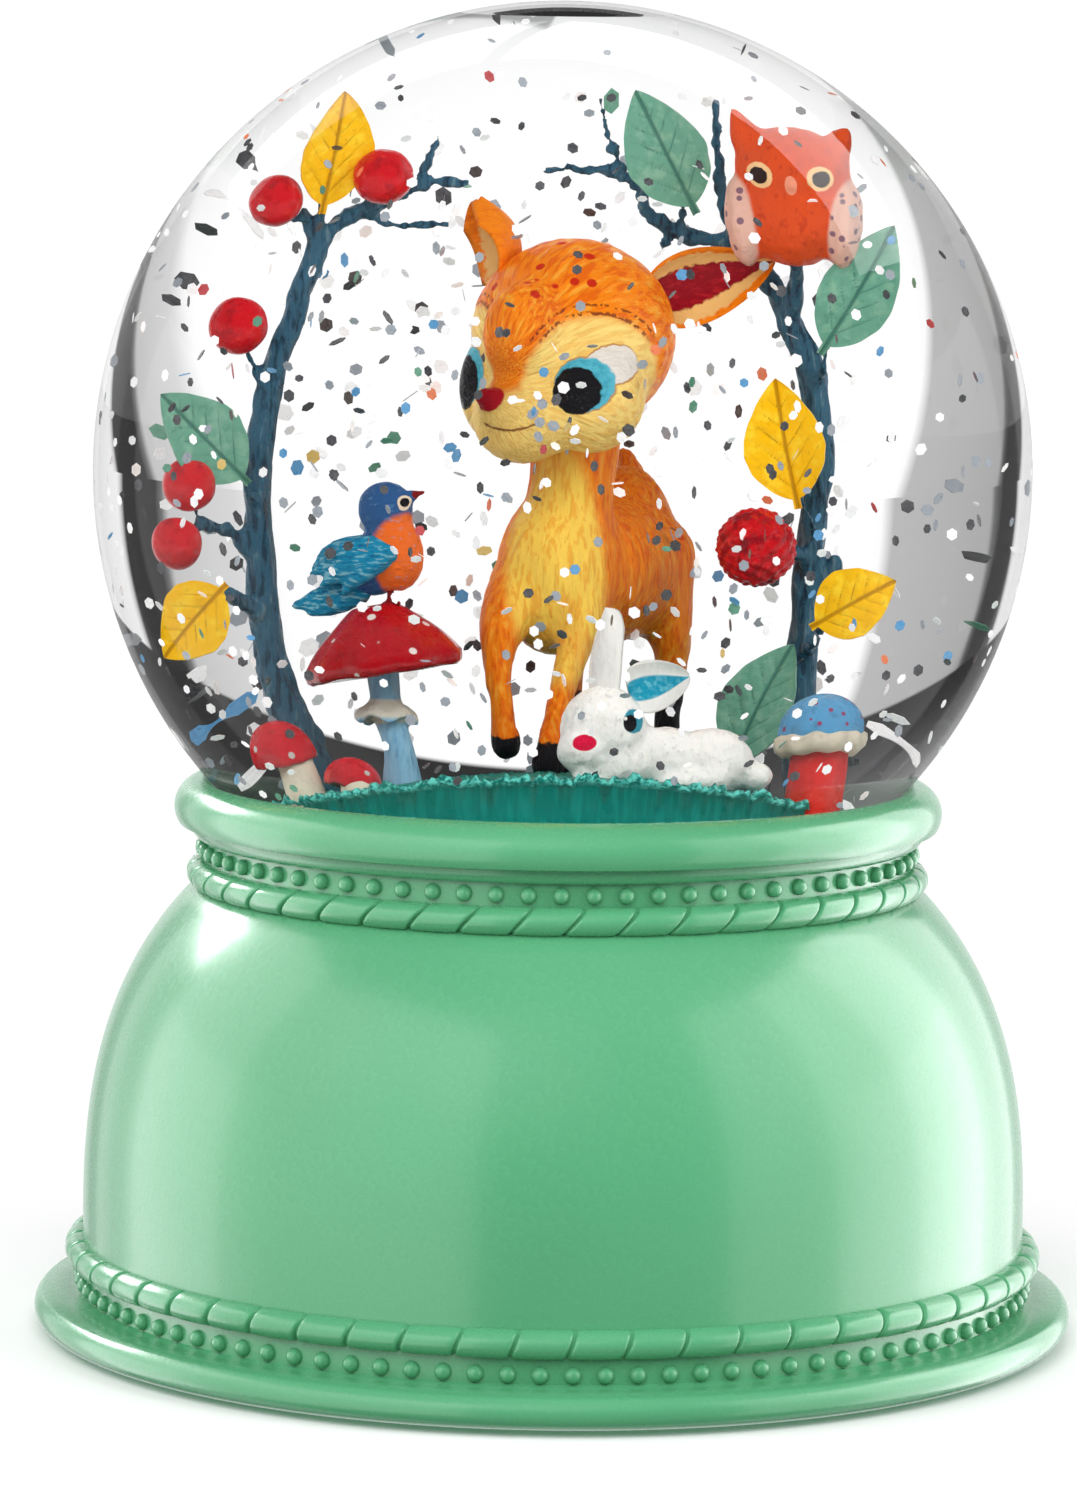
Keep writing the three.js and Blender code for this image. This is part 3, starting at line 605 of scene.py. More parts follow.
def clear_ball():
    neck_radius = NECK_ROOM - 0.7
    neck_inner = neck_radius - 2.5
    low_out = -math.degrees(math.acos(neck_radius / BALL_RADIUS))
    low_in = -math.degrees(math.acos(neck_inner / BALL_INNER))
    outline = arc(0, BALL_CENTRE, BALL_RADIUS, 90, low_out, 110)
    outline += [(neck_radius, SHELL_LOW.z), (neck_inner, SHELL_LOW.z)]
    outline += arc(0, BALL_CENTRE, BALL_INNER, low_in, 90, 110)
    outside = see_through("clear_ball_outside", GLASS_IOR)
    ball = piece("ball_glass", *welded(*revolve(outline, 200)), outside, sharp=35)
    # The inside of the wall meets water, so light bends there by the ratio of the two.
    ball.data.materials.append(see_through("clear_ball_inside", GLASS_IOR / WATER_IOR))
    neck_top = BALL_CENTRE + BALL_INNER * math.sin(math.radians(low_in))
    for face in ball.data.polygons:
        spot = face.center / MM
        in_neck = spot.z < neck_top
        in_ball = (spot - Vector((0, 0, BALL_CENTRE))).length < BALL_RADIUS - BALL_WALL / 2
        if spot.xy.length < neck_inner + 1 if in_neck else in_ball:
            face.material_index = 1
    stand_in("ball_shell", "clear_ball", ball)
    return ball


def air_bubble():
    """The air left under the top of the ball, flat below and domed above."""
    reach = BALL_INNER - 0.03
    start = math.degrees(math.asin((WATER_TOP - BALL_CENTRE) / reach))
    rim = reach * math.cos(math.radians(start))
    outline = [(rim * share, WATER_TOP) for share in np.linspace(0, 0.985, 12)]
    outline += arc(0, BALL_CENTRE, reach, start, 90, 14)
    skin = see_through("bubble_skin", 1 / WATER_IOR)
    return piece("air_bubble", *welded(*revolve(outline, 96)), skin, sharp=50)


# ---------------------------------------------------------------- ground
def mound_height(x, y):
    return MOUND_HIGH.z - MOUND_FALL[0] * x * x - MOUND_FALL[1] * y * y


def mound_paint():
    paint = Paint("moss_paint", ink(14, 104, 94), wobble=0.8)
    wall = paint.fade(paint.split(paint.fact("NewGeometry", "Normal"))[2], 0.5, 0.25)
    edge = paint.fact("Attribute", "Fac", attribute_name="crest")
    paint.mottle(1.1, 0.42, 0.66, ink(34, 138, 122), 0.8)
    # Painted shade: dark patches over the top of the moss, between the tufts.
    paint.lay(paint.less(paint.fade(paint.noise(2.2, 4.0, seed=9.0), 0.56, 0.7), wall), ink(8, 72, 70))
    paint.lay(wall, ink(12, 112, 102))
    streaks = paint.noise(1.0, 3.0, (2.0, 2.0, 0.12), seed=3.0)
    paint.lay(paint.both(wall, paint.fade(streaks, 0.45, 0.62)), ink(22, 132, 120), 0.8)
    paint.lay(paint.both(edge, paint.fade(paint.noise(1.7, 3.0, seed=4.0), 0.4, 0.6)), ink(104, 214, 200))
    paint.raise_by(paint.both(paint.minus(1.0, wall), paint.noise(2.0, 5.0)), 0.3)
    return paint.done(rough=0.36, vary=0.1, coat=0.1, mirror=0.15)


def mound():
    """Moss on a smooth-sided plug; its rim stands up in ragged tufts."""
    rings, crest = [], []

    def ring(radius, height, mark=0.0):
        """One ring of points; radius and height are worked out at each angle."""
        spots = []
        for a in turns(640):
            x, y = (MOUND_CENTRE + radial(a) * radius(a)).xy
            spots.append((x, y, height(a, x, y)))
        rings.append(spots)
        crest.extend([mark] * len(spots))

    def side(inset, level):
        foot = MOUND_LOW.z
        ring(lambda a: MOUND_RADIUS + inset, lambda a, x, y: foot + level * (mound_height(x, y) - 0.7 - foot))

    def tufts(inset, lift, ragged, mark):
        def tuft(a):
            way = radial(a, 0.02 * inset)
            return noise.noise(way * 14) + 0.9 * noise.noise(way * 41) + 0.7 * noise.noise(way * 100)

        ring(lambda a: MOUND_RADIUS + inset + 0.3 * ragged * tuft(a),
             lambda a, x, y: mound_height(x, y) + lift + ragged * tuft(a), mark)

    def top(share):
        def moss(a, x, y):
            spot = Vector((x, y, 0))
            return mound_height(x, y) + 0.3 * noise.noise(spot * 0.8) + 0.22 * noise.noise(spot * 2.4) - 0.1

        ring(lambda a: MOUND_RADIUS * share, moss)

    for inset, level in ((-0.9, 0.0), (-0.6, 0.5), (-0.4, 1.0)):
        side(inset, level)
    tufts(-0.2, -0.5, 0.4, 0.3)
    tufts(0.2, -0.1, 0.6, 1.0)
    tufts(-0.15, 0.3, 0.75, 1.0)
    tufts(-0.6, 0.2, 0.7, 0.4)
    tufts(-1.2, 0.0, 0.5, 0.0)
    for share in np.linspace(0.93, 0.0, 26):
        top(share)
    stand_in("ground", "teal_paint", piece("mound", *loft(rings), mound_paint(), crest=crest + [0.0, 0.0]))


# ---------------------------------------------------------------- fawn
HEAD = Vector((0.5, -1.6, 100.6))
HEAD_TURN = -32  # degrees about Z: it looks to the viewer's left
NOSE = (-0.5, -12.6, -2.8)  # in the head's own axes: x to the viewer's right, -y forwards
EYE_OUT = 5.45
HOOF_TOP = 69.0


def from_head(point):
    return HEAD + Matrix.Rotation(math.radians(HEAD_TURN), 3, "Z") @ Vector(point)


def turned_head(turn):
    return turn[0], turn[1], turn[2] + HEAD_TURN


def head_mask(paint, centre, radii, soft=0.1, turn=(0, 0, 0)):
    return paint.within(from_head(centre), radii, soft, turned_head(turn))


def fur(paint, stroke):
    """Brushed fur: colour and relief in short strokes."""
    paint.lay(paint.fade(stroke, 0.5, 0.62), DEEP_ORANGE, 0.6)
    paint.lay(paint.fade(stroke, 0.46, 0.36), YELLOW, 0.3)
    paint.raise_by(stroke, 0.35)


def cheeks(paint, stroke):
    """The pale face on both sides of the bridge of the nose."""
    pale = head_mask(paint, (0, -9.4, -5.4), (5.0, 5.4, 3.4), 0.25)
    for side in SIDES:
        pale = paint.most(pale, head_mask(paint, (side * 5.6, -5.4, -2.6), (6.2, 6.6, 6.2), 0.16))
    pale = paint.less(pale, head_mask(paint, (0, -9.6, 2.4), (1.9, 6.0, 5.4), 0.35, (24, 0, 0)))
    paint.lay(pale, ink(246, 212, 122))
    paint.lay(paint.both(pale, paint.fade(stroke, 0.4, 0.66)), ink(226, 160, 66), 0.5)


def brow(paint, side):
    """Two dashed lines over one eye."""
    centre = from_head((side * 5.6, -5.4, -2.6))
    lines = paint.most(paint.shell(centre, 6.5, 0.16), paint.shell(centre, 7.2, 0.13))
    above = paint.beyond((0, 0, 1), HEAD.z + 1.6, 0.6)
    dashes = paint.fade(paint.noise(2.4, 1.0, seed=side * 3.0), 0.46, 0.54)
    ahead = head_mask(paint, (side * 6.2, -4.5, 2.0), (6.4, 8.0, 7.0))
    paint.lay(paint.both(paint.both(lines, above), paint.both(dashes, ahead)), ink(112, 44, 22), 0.85)


def eye(paint, side):
    """A round eye with a pale outer corner: outline, white, iris, pupil and glint."""
    centre = (side * EYE_OUT, -6.1, -2.0)
    corner = (side * (EYE_OUT + 1.5), -5.2, -0.5)
    slant = (0, -side * 42, 0)
    outline = head_mask(paint, corner, (2.5, 3.2, 1.8), 0.06, slant)
    paint.lay(paint.most(head_mask(paint, centre, (2.6, 3.4, 2.56), 0.06), outline), ink(186, 130, 70))
    paint.lay(head_mask(paint, corner, (2.36, 3.2, 1.66), 0.06, slant), ink(226, 218, 208))
    paint.lay(head_mask(paint, centre, (2.5, 3.4, 2.46), 0.05), ink(84, 176, 194))
    rim = head_mask(paint, (side * EYE_OUT, -6.1, -1.9), (2.3, 3.4, 2.26), 0.05)
    paint.lay(paint.both(rim, paint.fade(paint.noise(1.6), 0.4, 0.6)), ink(60, 150, 172), 0.7)
    paint.lay(head_mask(paint, (side * EYE_OUT - 0.3, -6.2, -2.4), (2.2, 3.4, 2.2), 0.05), BLACK)
    glint = paint.fade(paint.noise(4.0, 2.0, seed=1.0), 0.58, 0.7)
    low = head_mask(paint, (side * EYE_OUT, -6.2, -3.0), (1.3, 3.4, 0.9), 0.6)
    paint.lay(paint.both(glint, low), ink(96, 96, 100), 0.5)


def head_paint():
    paint = Paint("fawn_head_paint", ORANGE, wobble=0.35)
    stroke = paint.fanned(from_head(NOSE), 26.0, 0.5)
    fur(paint, stroke)
    cheeks(paint, stroke)
    for side in SIDES:
        brow(paint, side)
    crown = head_mask(paint, (-0.6, -5.0, 6.4), (5.6, 6.0, 5.2))
    paint.lay(paint.both(paint.dots(0.55, 0.46), crown), ink(196, 40, 14))
    for side in SIDES:
        eye(paint, side)
    paint.lay(head_mask(paint, NOSE, (1.5, 1.6, 1.25), 0.12), ink(190, 15, 35))
    mouth = paint.shell(from_head((1.2, -11.6, -0.6)), 5.0, 0.1, 0.08)
    smile = paint.both(mouth, head_mask(paint, (1.6, -11.0, -5.6), (3.0, 4.0, 1.3), 0.2))
    paint.lay(smile, ink(122, 48, 26), 0.9)
    return paint.done(**SATIN)


def body_paint():
    paint = Paint("fawn_body_paint", ORANGE, wobble=0.9)
    stroke = paint.noise(1.0, 4.0, (2.6, 2.6, 0.42), seed=2.0)
    fur(paint, stroke)
    chest = paint.within((-0.6, -6.6, 84.4), (4.3, 5.2, 10.6), 0.3, (0, -6, 0))
    paint.lay(chest, YELLOW)
    paint.lay(paint.both(chest, paint.fade(stroke, 0.49, 0.6)), ink(232, 150, 40), 0.6)
    paint.lay(paint.within((-1.4, -4.2, 75.4), (1.9, 3.2, 4.2), 0.4), YELLOW, 0.6)
    rear = paint.within((5.4, 9.4, 87.4), (5.2, 9.0, 4.8), 0.15)
    paint.lay(paint.both(paint.dots(0.42, 0.5, seed=3.0), rear), ink(206, 50, 26), 0.85)
    # Painted shade: the body below 80 mm is darkened in patches with deep orange.
    low = paint.beyond((0, 0, -1), -80, 3.0)
    paint.lay(paint.both(low, paint.fade(paint.noise(0.25, 2.0), 0.42, 0.62)), DEEP_ORANGE, 0.25)
    paint.lay(paint.beyond((0, 0.28, -1), -HOOF_TOP - 2.9, 0.1), BLACK)
    return paint.done(**SATIN)


def fawn_body():
    clay = Clay()
    clay.egg((-0.5, -1.6, 83.0), (4.7, 4.8, 6.6))
    clay.egg((3.0, 4.4, 83.0), (5.2, 9.2, 5.6), (0, 0, -30))
    clay.egg((4.8, 9.8, 84.8), (3.9, 4.6, 6.1))
    clay.limb([(0.2, -1.4, 83), (0.6, -1.2, 89), (1.0, -1.0, 93), (1.2, -0.8, 97)], [4.6, 3.5, 3.6, 3.8])
    clay.limb([(-2.9, -2.6, 82), (-4.6, -4.8, 79), (-5.1, -6.2, 76), (-4.9, -7, 73), (-4.6, -7.4, 70.2)],
              [3.0, 2.15, 1.4, 1.12, 1.2])
    clay.limb([(-4.6, -7.4, 70.4), (-4.4, -7.8, 68.9)], [1.2, 1.45], 4)
    clay.limb([(1.6, -2.6, 82), (1.4, -4.8, 78.4), (0.5, -6.4, 75), (-0.3, -8, 71.6), (-0.8, -9.2, 68.8)],
              [2.8, 1.7, 1.35, 1.15, 1.25])
    clay.limb([(-0.8, -9.2, 68.8), (-1.0, -9.9, 67.0)], [1.3, 1.6], 4)
    clay.limb([(7.2, 8.4, 84), (8.2, 7.8, 79), (8.5, 8.4, 75.4), (8.2, 8.2, 72), (8.2, 7.6, 67.4)],
              [3.2, 1.9, 1.3, 1.1, 1.4])
    clay.limb([(2.4, 8.4, 83), (1.2, 7.4, 78.4), (0.8, 7.6, 75), (0.9, 7.2, 72), (1.0, 6.6, 67.4)],
              [3.0, 1.6, 1.2, 1.05, 1.4])
    clay.limb([(5.2, 13.4, 88.0), (5.0, 14.6, 90.0), (4.4, 14.4, 91.8)], [1.5, 1.3, 0.6], 5)
    body = clay.model("fawn_body_figure", body_paint(), 0.55, 9, 0.27, 2, strokes(0.11, 1.9, 0.34))
    stand_in("fawn_body", "fawn_paint", body)


def blade_axes(start, end, facing):
    """The length of a blade, and unit vectors along it, out of its face and across it."""
    span = Vector(end) - Vector(start)
    along = span.normalized()
    out = Vector(facing)
    out = (out - along * out.dot(along)).normalized()
    return span.length, along, out, along.cross(out)


def ear(name, base, tip, width, facing, cup, material, blunt=0.8):
    """An ear: a cupped blade from base to tip whose hollow looks along facing."""
    length, along, out, side = blade_axes(base, tip, facing)
    shares = np.linspace(-1, 1, 21)
    rings, marks = [], []
    for v in np.linspace(0.02, 0.995, 34):
        half = width / 2 * (0.42 * (1 - v) + math.sin(math.pi * v ** 0.8) ** blunt)
        deep = cup * min(1.0, 2.4 * half / width)
        centre = Vector(base) + along * length * v - out * cup * 0.6 * math.sin(math.pi * v)
        ring = []
        for u in shares:
            ring.append(centre + side * half * u + out * (deep * abs(u) ** 2.6 - 0.15 * (1 - u * u)))
            marks.append((abs(u), v, 1.0))
        for u in shares[::-1]:
            shell = 0.28 + 0.5 * (1 - u * u)
            ring.append(centre + side * half * u * 1.03 + out * (deep * abs(u) ** 2.6 - shell * 1.2))
            marks.append((abs(u), v, 0.0))
        rings.append(ring)
    return piece(name, *loft(rings), material, blade=marks + [(0.5, 0.0, 0.0), (1.0, 1.0, 0.0)])


def on_ear(paint, narrowing):
    """How far a point is from an ear's midline, more so near the tip, and 1 on the inner side."""
    across, along, inner = paint.split(paint.fact("Attribute", "Vector", attribute_name="blade"))
    return paint.plus(across, paint.both(paint.math("POWER", along, 3.0), narrowing)), inner


def ear_paint():
    paint = Paint("fawn_ear_paint", ORANGE)
    stroke = paint.noise(1.0, 4.0, (1.2, 2.4, 1.6), seed=2.0)
    paint.lay(paint.fade(stroke, 0.5, 0.66), DEEP_ORANGE, 0.4)
    reach, inner = on_ear(paint, 0.45)
    ragged = paint.plus(reach, paint.both(paint.minus(paint.noise(2.0), 0.5), 0.25))
    core = paint.both(inner, paint.fade(ragged, 0.6, 0.52))
    paint.lay(paint.both(inner, paint.fade(ragged, 0.95, 0.88)), CREAM)
    paint.lay(core, ink(138, 12, 28))
    streak = paint.fade(paint.noise(1.0, 4.0, (1.0, 3.0, 3.0)), 0.5, 0.7)
    paint.lay(paint.both(core, streak), ink(196, 40, 46), 0.5)
    paint.raise_by(stroke, 0.25)
    return paint.done(**SATIN)


def fawn_head():
    clay = Clay()
    for centre, radii, tilt in (
        ((0, 0.4, 1.2), (8.2, 8.0, 7.7), 0),
        ((4.3, -3.6, -2.8), (4.3, 4.8, 5.0), 0),
        ((-3.5, -3.4, -2.8), (4.0, 4.6, 5.0), 0),
        ((0, -6.8, -4.7), (4.3, 4.8, 3.9), 12),
        ((0, -9.2, -3.9), (2.7, 3.3, 2.5), 8),
        ((0, -6.4, 1.2), (3.6, 4.4, 5.4), 28),
        (NOSE, (1.25, 0.8, 0.95), 0),
    ):
        clay.egg(from_head(centre), radii, turned_head((tilt, 0, 0)))
    fur_lines = strokes_from(from_head(NOSE), 20.0, 0.4)
    eyes = [from_head((side * EYE_OUT, -6.6, -1.8)) for side in SIDES]

    def carve(p):
        """Fur, except on the eyes."""
        smooth = min((Vector(p) - eye).length / 4.2 for eye in eyes)
        return 0.10 * fur_lines(p) * min(max(smooth * 3 - 2.2, 0.0), 1.0)

    head = clay.model("fawn_head_figure", head_paint(), 0.5, 8, 0.26, 2, carve)
    brown = ear_paint()
    right = ear("fawn_ear_right", (6.4, 1.2, 104.2), (16.4, 3.2, 107.3), 4.7, (-0.15, -1, -0.12), 1.2,
                brown, 0.7)
    left = ear("fawn_ear_left", (-4.2, 1.6, 106.0), (-7.4, 2.6, 111.8), 5.6, (-0.96, -0.16, 0.1), 2.0, brown)
    stand_in("fawn_head", "fawn_paint", head, right, left)


# ---------------------------------------------------------------- rabbit
def rabbit_paint():
    paint = Paint("rabbit_paint", OFF_WHITE, wobble=0.15)
    tuft = paint.noise(1.0, 4.0, (1.6, 1.6, 1.0), seed=1.0)
    paint.lay(paint.fade(tuft, 0.56, 0.7), ink(186, 184, 184), 0.5)
    paint.lay(paint.within((2.0, -20.8, 68.4), (1.05, 1.4, 0.8), 0.1), ink(205, 20, 60))
    paint.lay(paint.within((6.0, -18.6, 70.4), (1.05, 2.2, 1.3), 0.08), ink(40, 140, 160))
    paint.lay(paint.within((5.85, -18.7, 70.25), (0.72, 2.2, 0.98), 0.08), BLACK)
    # Painted highlight: a small pale spot high in the pupil.
    paint.lay(paint.within((5.55, -18.7, 70.7), (0.2, 2.2, 0.24), 0.2), ink(232, 228, 220))
    paint.raise_by(tuft, 0.3)
    return paint.done(rough=0.3, vary=0.1, coat=0.2, scatter=0.15, mirror=0.15)


def rabbit_ear_paint():
    paint = Paint("rabbit_ear_paint", OFF_WHITE)
    reach, inner = on_ear(paint, 0.4)
    hollow = paint.both(inner, paint.fade(reach, 0.52, 0.42))
    paint.lay(hollow, ink(30, 150, 180))
    paint.lay(paint.both(hollow, paint.fade(paint.noise(1.4), 0.45, 0.6)), ink(120, 200, 214), 0.6)
    paint.raise_by(paint.noise(1.0, 4.0, (1.8, 1.8, 0.8)), 0.2)
    return paint.done(rough=0.3, vary=0.1, coat=0.2, mirror=0.15)


def rabbit():
    clay = Clay()
    clay.egg((3.6, -17.4, 69.8), (3.8, 3.5, 4.0))
    clay.egg((1.9, -19.0, 67.8), (2.4, 2.3, 2.2))
    clay.egg((4.2, -17.2, 66.6), (3.6, 3.0, 2.6))
    clay.egg((8.8, -15.6, 67.2), (3.8, 3.3, 3.0))
    clay.egg((12.8, -14.8, 66.8), (3.9, 3.4, 3.3))
    clay.egg((17.0, -14.2, 65.4), (1.6, 1.6, 1.5))
    clay.limb([(6.0, -17.2, 65.2), (3.4, -19.0, 64.7), (1.6, -19.8, 64.7)], [1.3, 1.1, 0.9], 5)
    clay.limb([(13.6, -17.0, 65.2), (11.0, -18.0, 64.8), (9.2, -18.4, 64.7)], [1.5, 1.1, 0.85], 5)
    body = clay.model("rabbit_figure", rabbit_paint(), 0.42, 7, 0.24, 2, strokes(0.08, 1.2, 1.2))
    skin = rabbit_ear_paint()
    raised = ear("rabbit_ear_left", (3.4, -16.6, 72.4), (4.4, -15.8, 80.4), 3.6, (0.95, 0.5, 0), 0.7,
                 skin, 0.45)
    folded = ear("rabbit_ear_right", (5.6, -16.2, 73.2), (10.9, -15.6, 74.6), 3.6, (0.1, -1, 0.1), 0.8,
                 skin, 0.5)
    stand_in("rabbit", "white_paint", body, raised, folded)


# ---------------------------------------------------------------- bird
def bird_paint():
    paint = Paint("bird_paint", ink(44, 84, 132), wobble=0.35)
    feather = paint.noise(1.0, 4.0, (1.0, 2.0, 2.6), seed=6.0)
    paint.lay(paint.within((-13.0, -11.4, 84.2), (2.9, 3.4, 3.9), 0.18, (0, -14, 0)), ink(232, 106, 38))
    paint.lay(paint.within((-15.6, -8.2, 83.6), (2.4, 3.0, 3.6), 0.25, (0, -16, 0)), ink(28, 112, 150))
    paint.lay(paint.fade(feather, 0.58, 0.7), ink(120, 170, 200), 0.35)
    paint.lay(paint.within((-13.2, -12.2, 88.9), (0.66, 0.9, 0.66), 0.1), ink(226, 206, 180))
    paint.lay(paint.within((-13.2, -12.3, 88.9), (0.42, 0.9, 0.42), 0.1), BLACK)
    paint.lay(paint.within((-11.7, -11.6, 89.6), (0.95, 1.2, 0.62), 0.1), DARK_RED)
    paint.raise_by(feather, 0.3)
    return paint.done(**FEATHER)


def wing_paint():
    paint = Paint("bird_wing_paint", ink(24, 130, 166))
    barb = paint.noise(1.0, 3.0, (0.8, 1.5, 3.4), seed=2.0)
    paint.lay(paint.fade(barb, 0.52, 0.62), ink(150, 202, 210), 0.6)
    paint.lay(paint.fade(barb, 0.44, 0.34), ink(16, 70, 112), 0.6)
    paint.raise_by(barb, 0.4)
    return paint.done(**FEATHER)


def bird_wings():
    """Three long feathers of the near wing, two of the tail and the far wing."""
    wings = Clay()
    near = (((-20.9, -9.6, 82.7), 1.9), ((-20.2, -10.4, 81.7), 1.6), ((-18.4, -11.2, 81.2), 1.5))
    for k, (tip, wide) in enumerate(near):
        root = Vector((-15.2 + 0.3 * k, -11.6 - 0.35 * k, 85.4 - 0.4 * k))
        bend = (root + Vector(tip)) / 2 + Vector((0, -0.5, 0.3))
        wings.limb([root, bend, tip], [1.0, wide * 0.62, 0.3], 6)
    for tip, root in (((-22.0, -7.4, 80.0), (-17.0, -9.2, 81.8)), ((-20.8, -8.2, 79.5), (-16.6, -9.6, 81.2))):
        wings.limb([root, (Vector(root) + Vector(tip)) / 2, tip], [0.9, 1.0, 0.4], 5)
    wings.limb([(-15.8, -8.0, 85.2), (-18.6, -7.0, 84.2), (-20.4, -6.6, 82.8)], [1.0, 1.2, 0.3], 6)

    def barbs(p):
        return 0.09 * noise.noise(Vector((p[0] * 0.6, p[1], p[2] * 2.6)))

    return wings.model("bird_wings", wing_paint(), 0.28, 3, 0.2, 1, barbs)


def bird():
    clay = Clay()
    clay.egg((-14.7, -10.3, 88.3), (2.35, 2.3, 2.3))
    clay.egg((-14.0, -10.4, 84.8), (2.5, 2.5, 3.4), (0, -14, 0))
    clay.egg((-15.6, -9.6, 83.6), (2.7, 2.2, 2.6), (0, -30, 0))
    clay.limb([(-12.8, -11.3, 89.4), (-11.4, -11.8, 89.9)], [0.62, 0.22], 4)
    body = clay.model("bird_figure", bird_paint(), 0.35, 5, 0.2, 2, strokes(0.05, 1.6, 1.6))
    wings = bird_wings()
    leg = Clay()
    leg.limb([(-14.2, -10.4, 82.2), (-14.3, -10.6, 80.3)], [0.35, 0.3], 3)
    leg.limb([(-13.6, -11.2, 80.5), (-14.3, -10.6, 80.4), (-14.9, -11.2, 80.3)], [0.3, 0.35, 0.3], 3)
    legs = leg.model("bird_legs", plain_paint("bird_leg_paint", DARK_RED), 0.2, 1, 0.15, 1)
    stand_in("bird", "bird_paint", body, wings, legs)


# ---------------------------------------------------------------- mushrooms
def cap_outline(radius, height, under, peaked):
    """From the top over the rim to the middle of the underside, as (radius, height)."""
    if peaked:  # a rounded peak whose flanks sweep out to the rim
        rim = 1.15
        outline = []
        for u in np.linspace(0, 1, 30):
            rise = (1 - u) ** 1.2 * (1 - 0.33 * math.exp(-(u / 0.2) ** 2)) + 0.22 * (1 - u ** 6) * u
            outline.append((radius * u, height * rise))
    else:
        rim = 0.72
        dome = np.radians(np.linspace(90, 2, 30))
        outline = [(radius * 0.999 * math.cos(a), height * math.sin(a)) for a in dome]
    outline += [(radius, -0.35 * rim), (radius * 0.985, -0.76 * rim), (radius * 0.93, -rim)]
    hollow = [(radius * share, under * (1 - share) * 1.5 - rim) for share in np.linspace(0.84, 0.0, 12)]
    return outline + hollow


def cap(name, centre, radius, height, tilt, material, waves=0.03, under=0.5, peaked=False):
    """A mushroom cap: a domed or peaked top, a rounded wavy rim and a hollowed underside."""
    spin = Euler(radians(tilt)).to_matrix()
    rings = []
    for r, z in cap_outline(radius, height, under, peaked):
        out = r / radius
        ring = []
        for a in turns(120):
            ripple = 1 + waves * out ** 3 * noise.noise(radial(a) * 2.6 + Vector(centre))
            ripple += waves * 0.4 * math.sin(9 * a) * out ** 6
            drop = 0.35 * noise.noise(radial(a, 2.5) * 2) * out ** 3
            ring.append(Vector(centre) + spin @ (radial(a) * r * ripple + Vector((0, 0, z + drop))))
        rings.append(ring)
    return piece(name, *welded(*loft(rings)), material)


def cap_paint(name, colour, spot, per_mm, size, gloss=0.5):
    paint = Paint(name, colour, wobble=0.2)
    paint.mottle(0.8, 0.5, 0.72, darker(colour, 0.55), 0.6)
    paint.lay(paint.dots(per_mm, size), spot, 0.9)
    paint.raise_by(paint.noise(1.6, 4.0, seed=3.0), 0.28)
    return paint.done(rough=0.25, vary=0.08, coat=gloss, mirror=0.15)


def blue_stalk_paint():
    paint = Paint("stalk_paint_blue", ink(132, 180, 206))
    streak = paint.noise(1.0, 4.0, (2.2, 2.2, 0.3), seed=2.0)
    paint.lay(paint.fade(streak, 0.5, 0.68), ink(88, 142, 180), 0.6)
    paint.lay(paint.within((-14.6, -10.6, 71.2), (3.4, 3.4, 1.2), 0.25), ink(206, 202, 186))
    paint.raise_by(streak, 0.3)
    return paint.done(rough=0.4, vary=0.1, coat=0.1)


def tall_mushroom():
    middle, radius = round_box("tall_mushroom_cap")
    red = cap_paint("tall_cap_paint", ink(166, 8, 20), ink(240, 228, 220), 0.42, 0.38, 0.6)
    top = cap("tall_cap", (middle.x, middle.y, 75.6), radius, 6.6, (0, -11, 0), red, 0.07, 0.5, True)
    stand_in("tall_mushroom_cap", "cap_paint", top)
    foot = (-13.4, -12.0, mound_height(-13.4, -12.0) - 0.8)
    clay = Clay()
    clay.limb([foot, (-13.7, -11.8, 68), (-14.6, -10.8, 71.5), (-14.9, -10.2, 75.4)], [1.9, 1.35, 1.3, 1.45])
    skirt = []
    for r, z in ((1.1, 71.9), (1.7, 71.8), (2.5, 71.2), (2.9, 70.5), (2.6, 70.3), (1.9, 70.7), (1.0, 70.9)):
        centre = Vector((-14.6, -10.8, z))
        skirt.append([centre + radial(a, 0.12 * math.sin(5 * a)) * r for a in turns(40)])
    clay.skin(*loft(skirt))
    stalk = clay.model("tall_stalk", blue_stalk_paint(), 0.3, 3, 0.2, 1, strokes(0.12, 1.8, 0.3))
    stand_in("tall_mushroom_stalk", "stalk_paint", stalk)


def small_mushrooms():
    red = cap_paint("small_cap_paint", ink(196, 22, 34), ink(196, 196, 190), 0.5, 0.34)
    cream = plain_paint("cream_stalk_paint", ink(216, 206, 184))
    sizes = (("red_mushroom", 3.3, (8, -22, 0), -1.5), ("small_red_mushroom", 2.4, (4, 8, 0), 0))
    for name, height, tilt, shift in sizes:
        (x, y, _), radius = round_box(name)
        rim_z = box_mm(name)[1].z - height
        top = cap(name + "_top", (x + shift, y + 0.4, rim_z), radius * 0.96, height, tilt, red, 0.04)
        stand_in(name, "cap_paint", top)
        foot = (x + 0.3, y - 1.0, mound_height(x, y) - 0.4)
        stalk = Clay().limb([foot, (x + 0.5 * shift, y - 0.3, rim_z + 0.4)], [radius * 0.64, radius * 0.5])
        stalk = stalk.model(name + "_foot", cream, 0.3, 3, 0.22, 2, strokes(0.06, 1.5, 1.5))
        stand_in(name, "stalk_paint", stalk)
    blue_mushroom(cream)


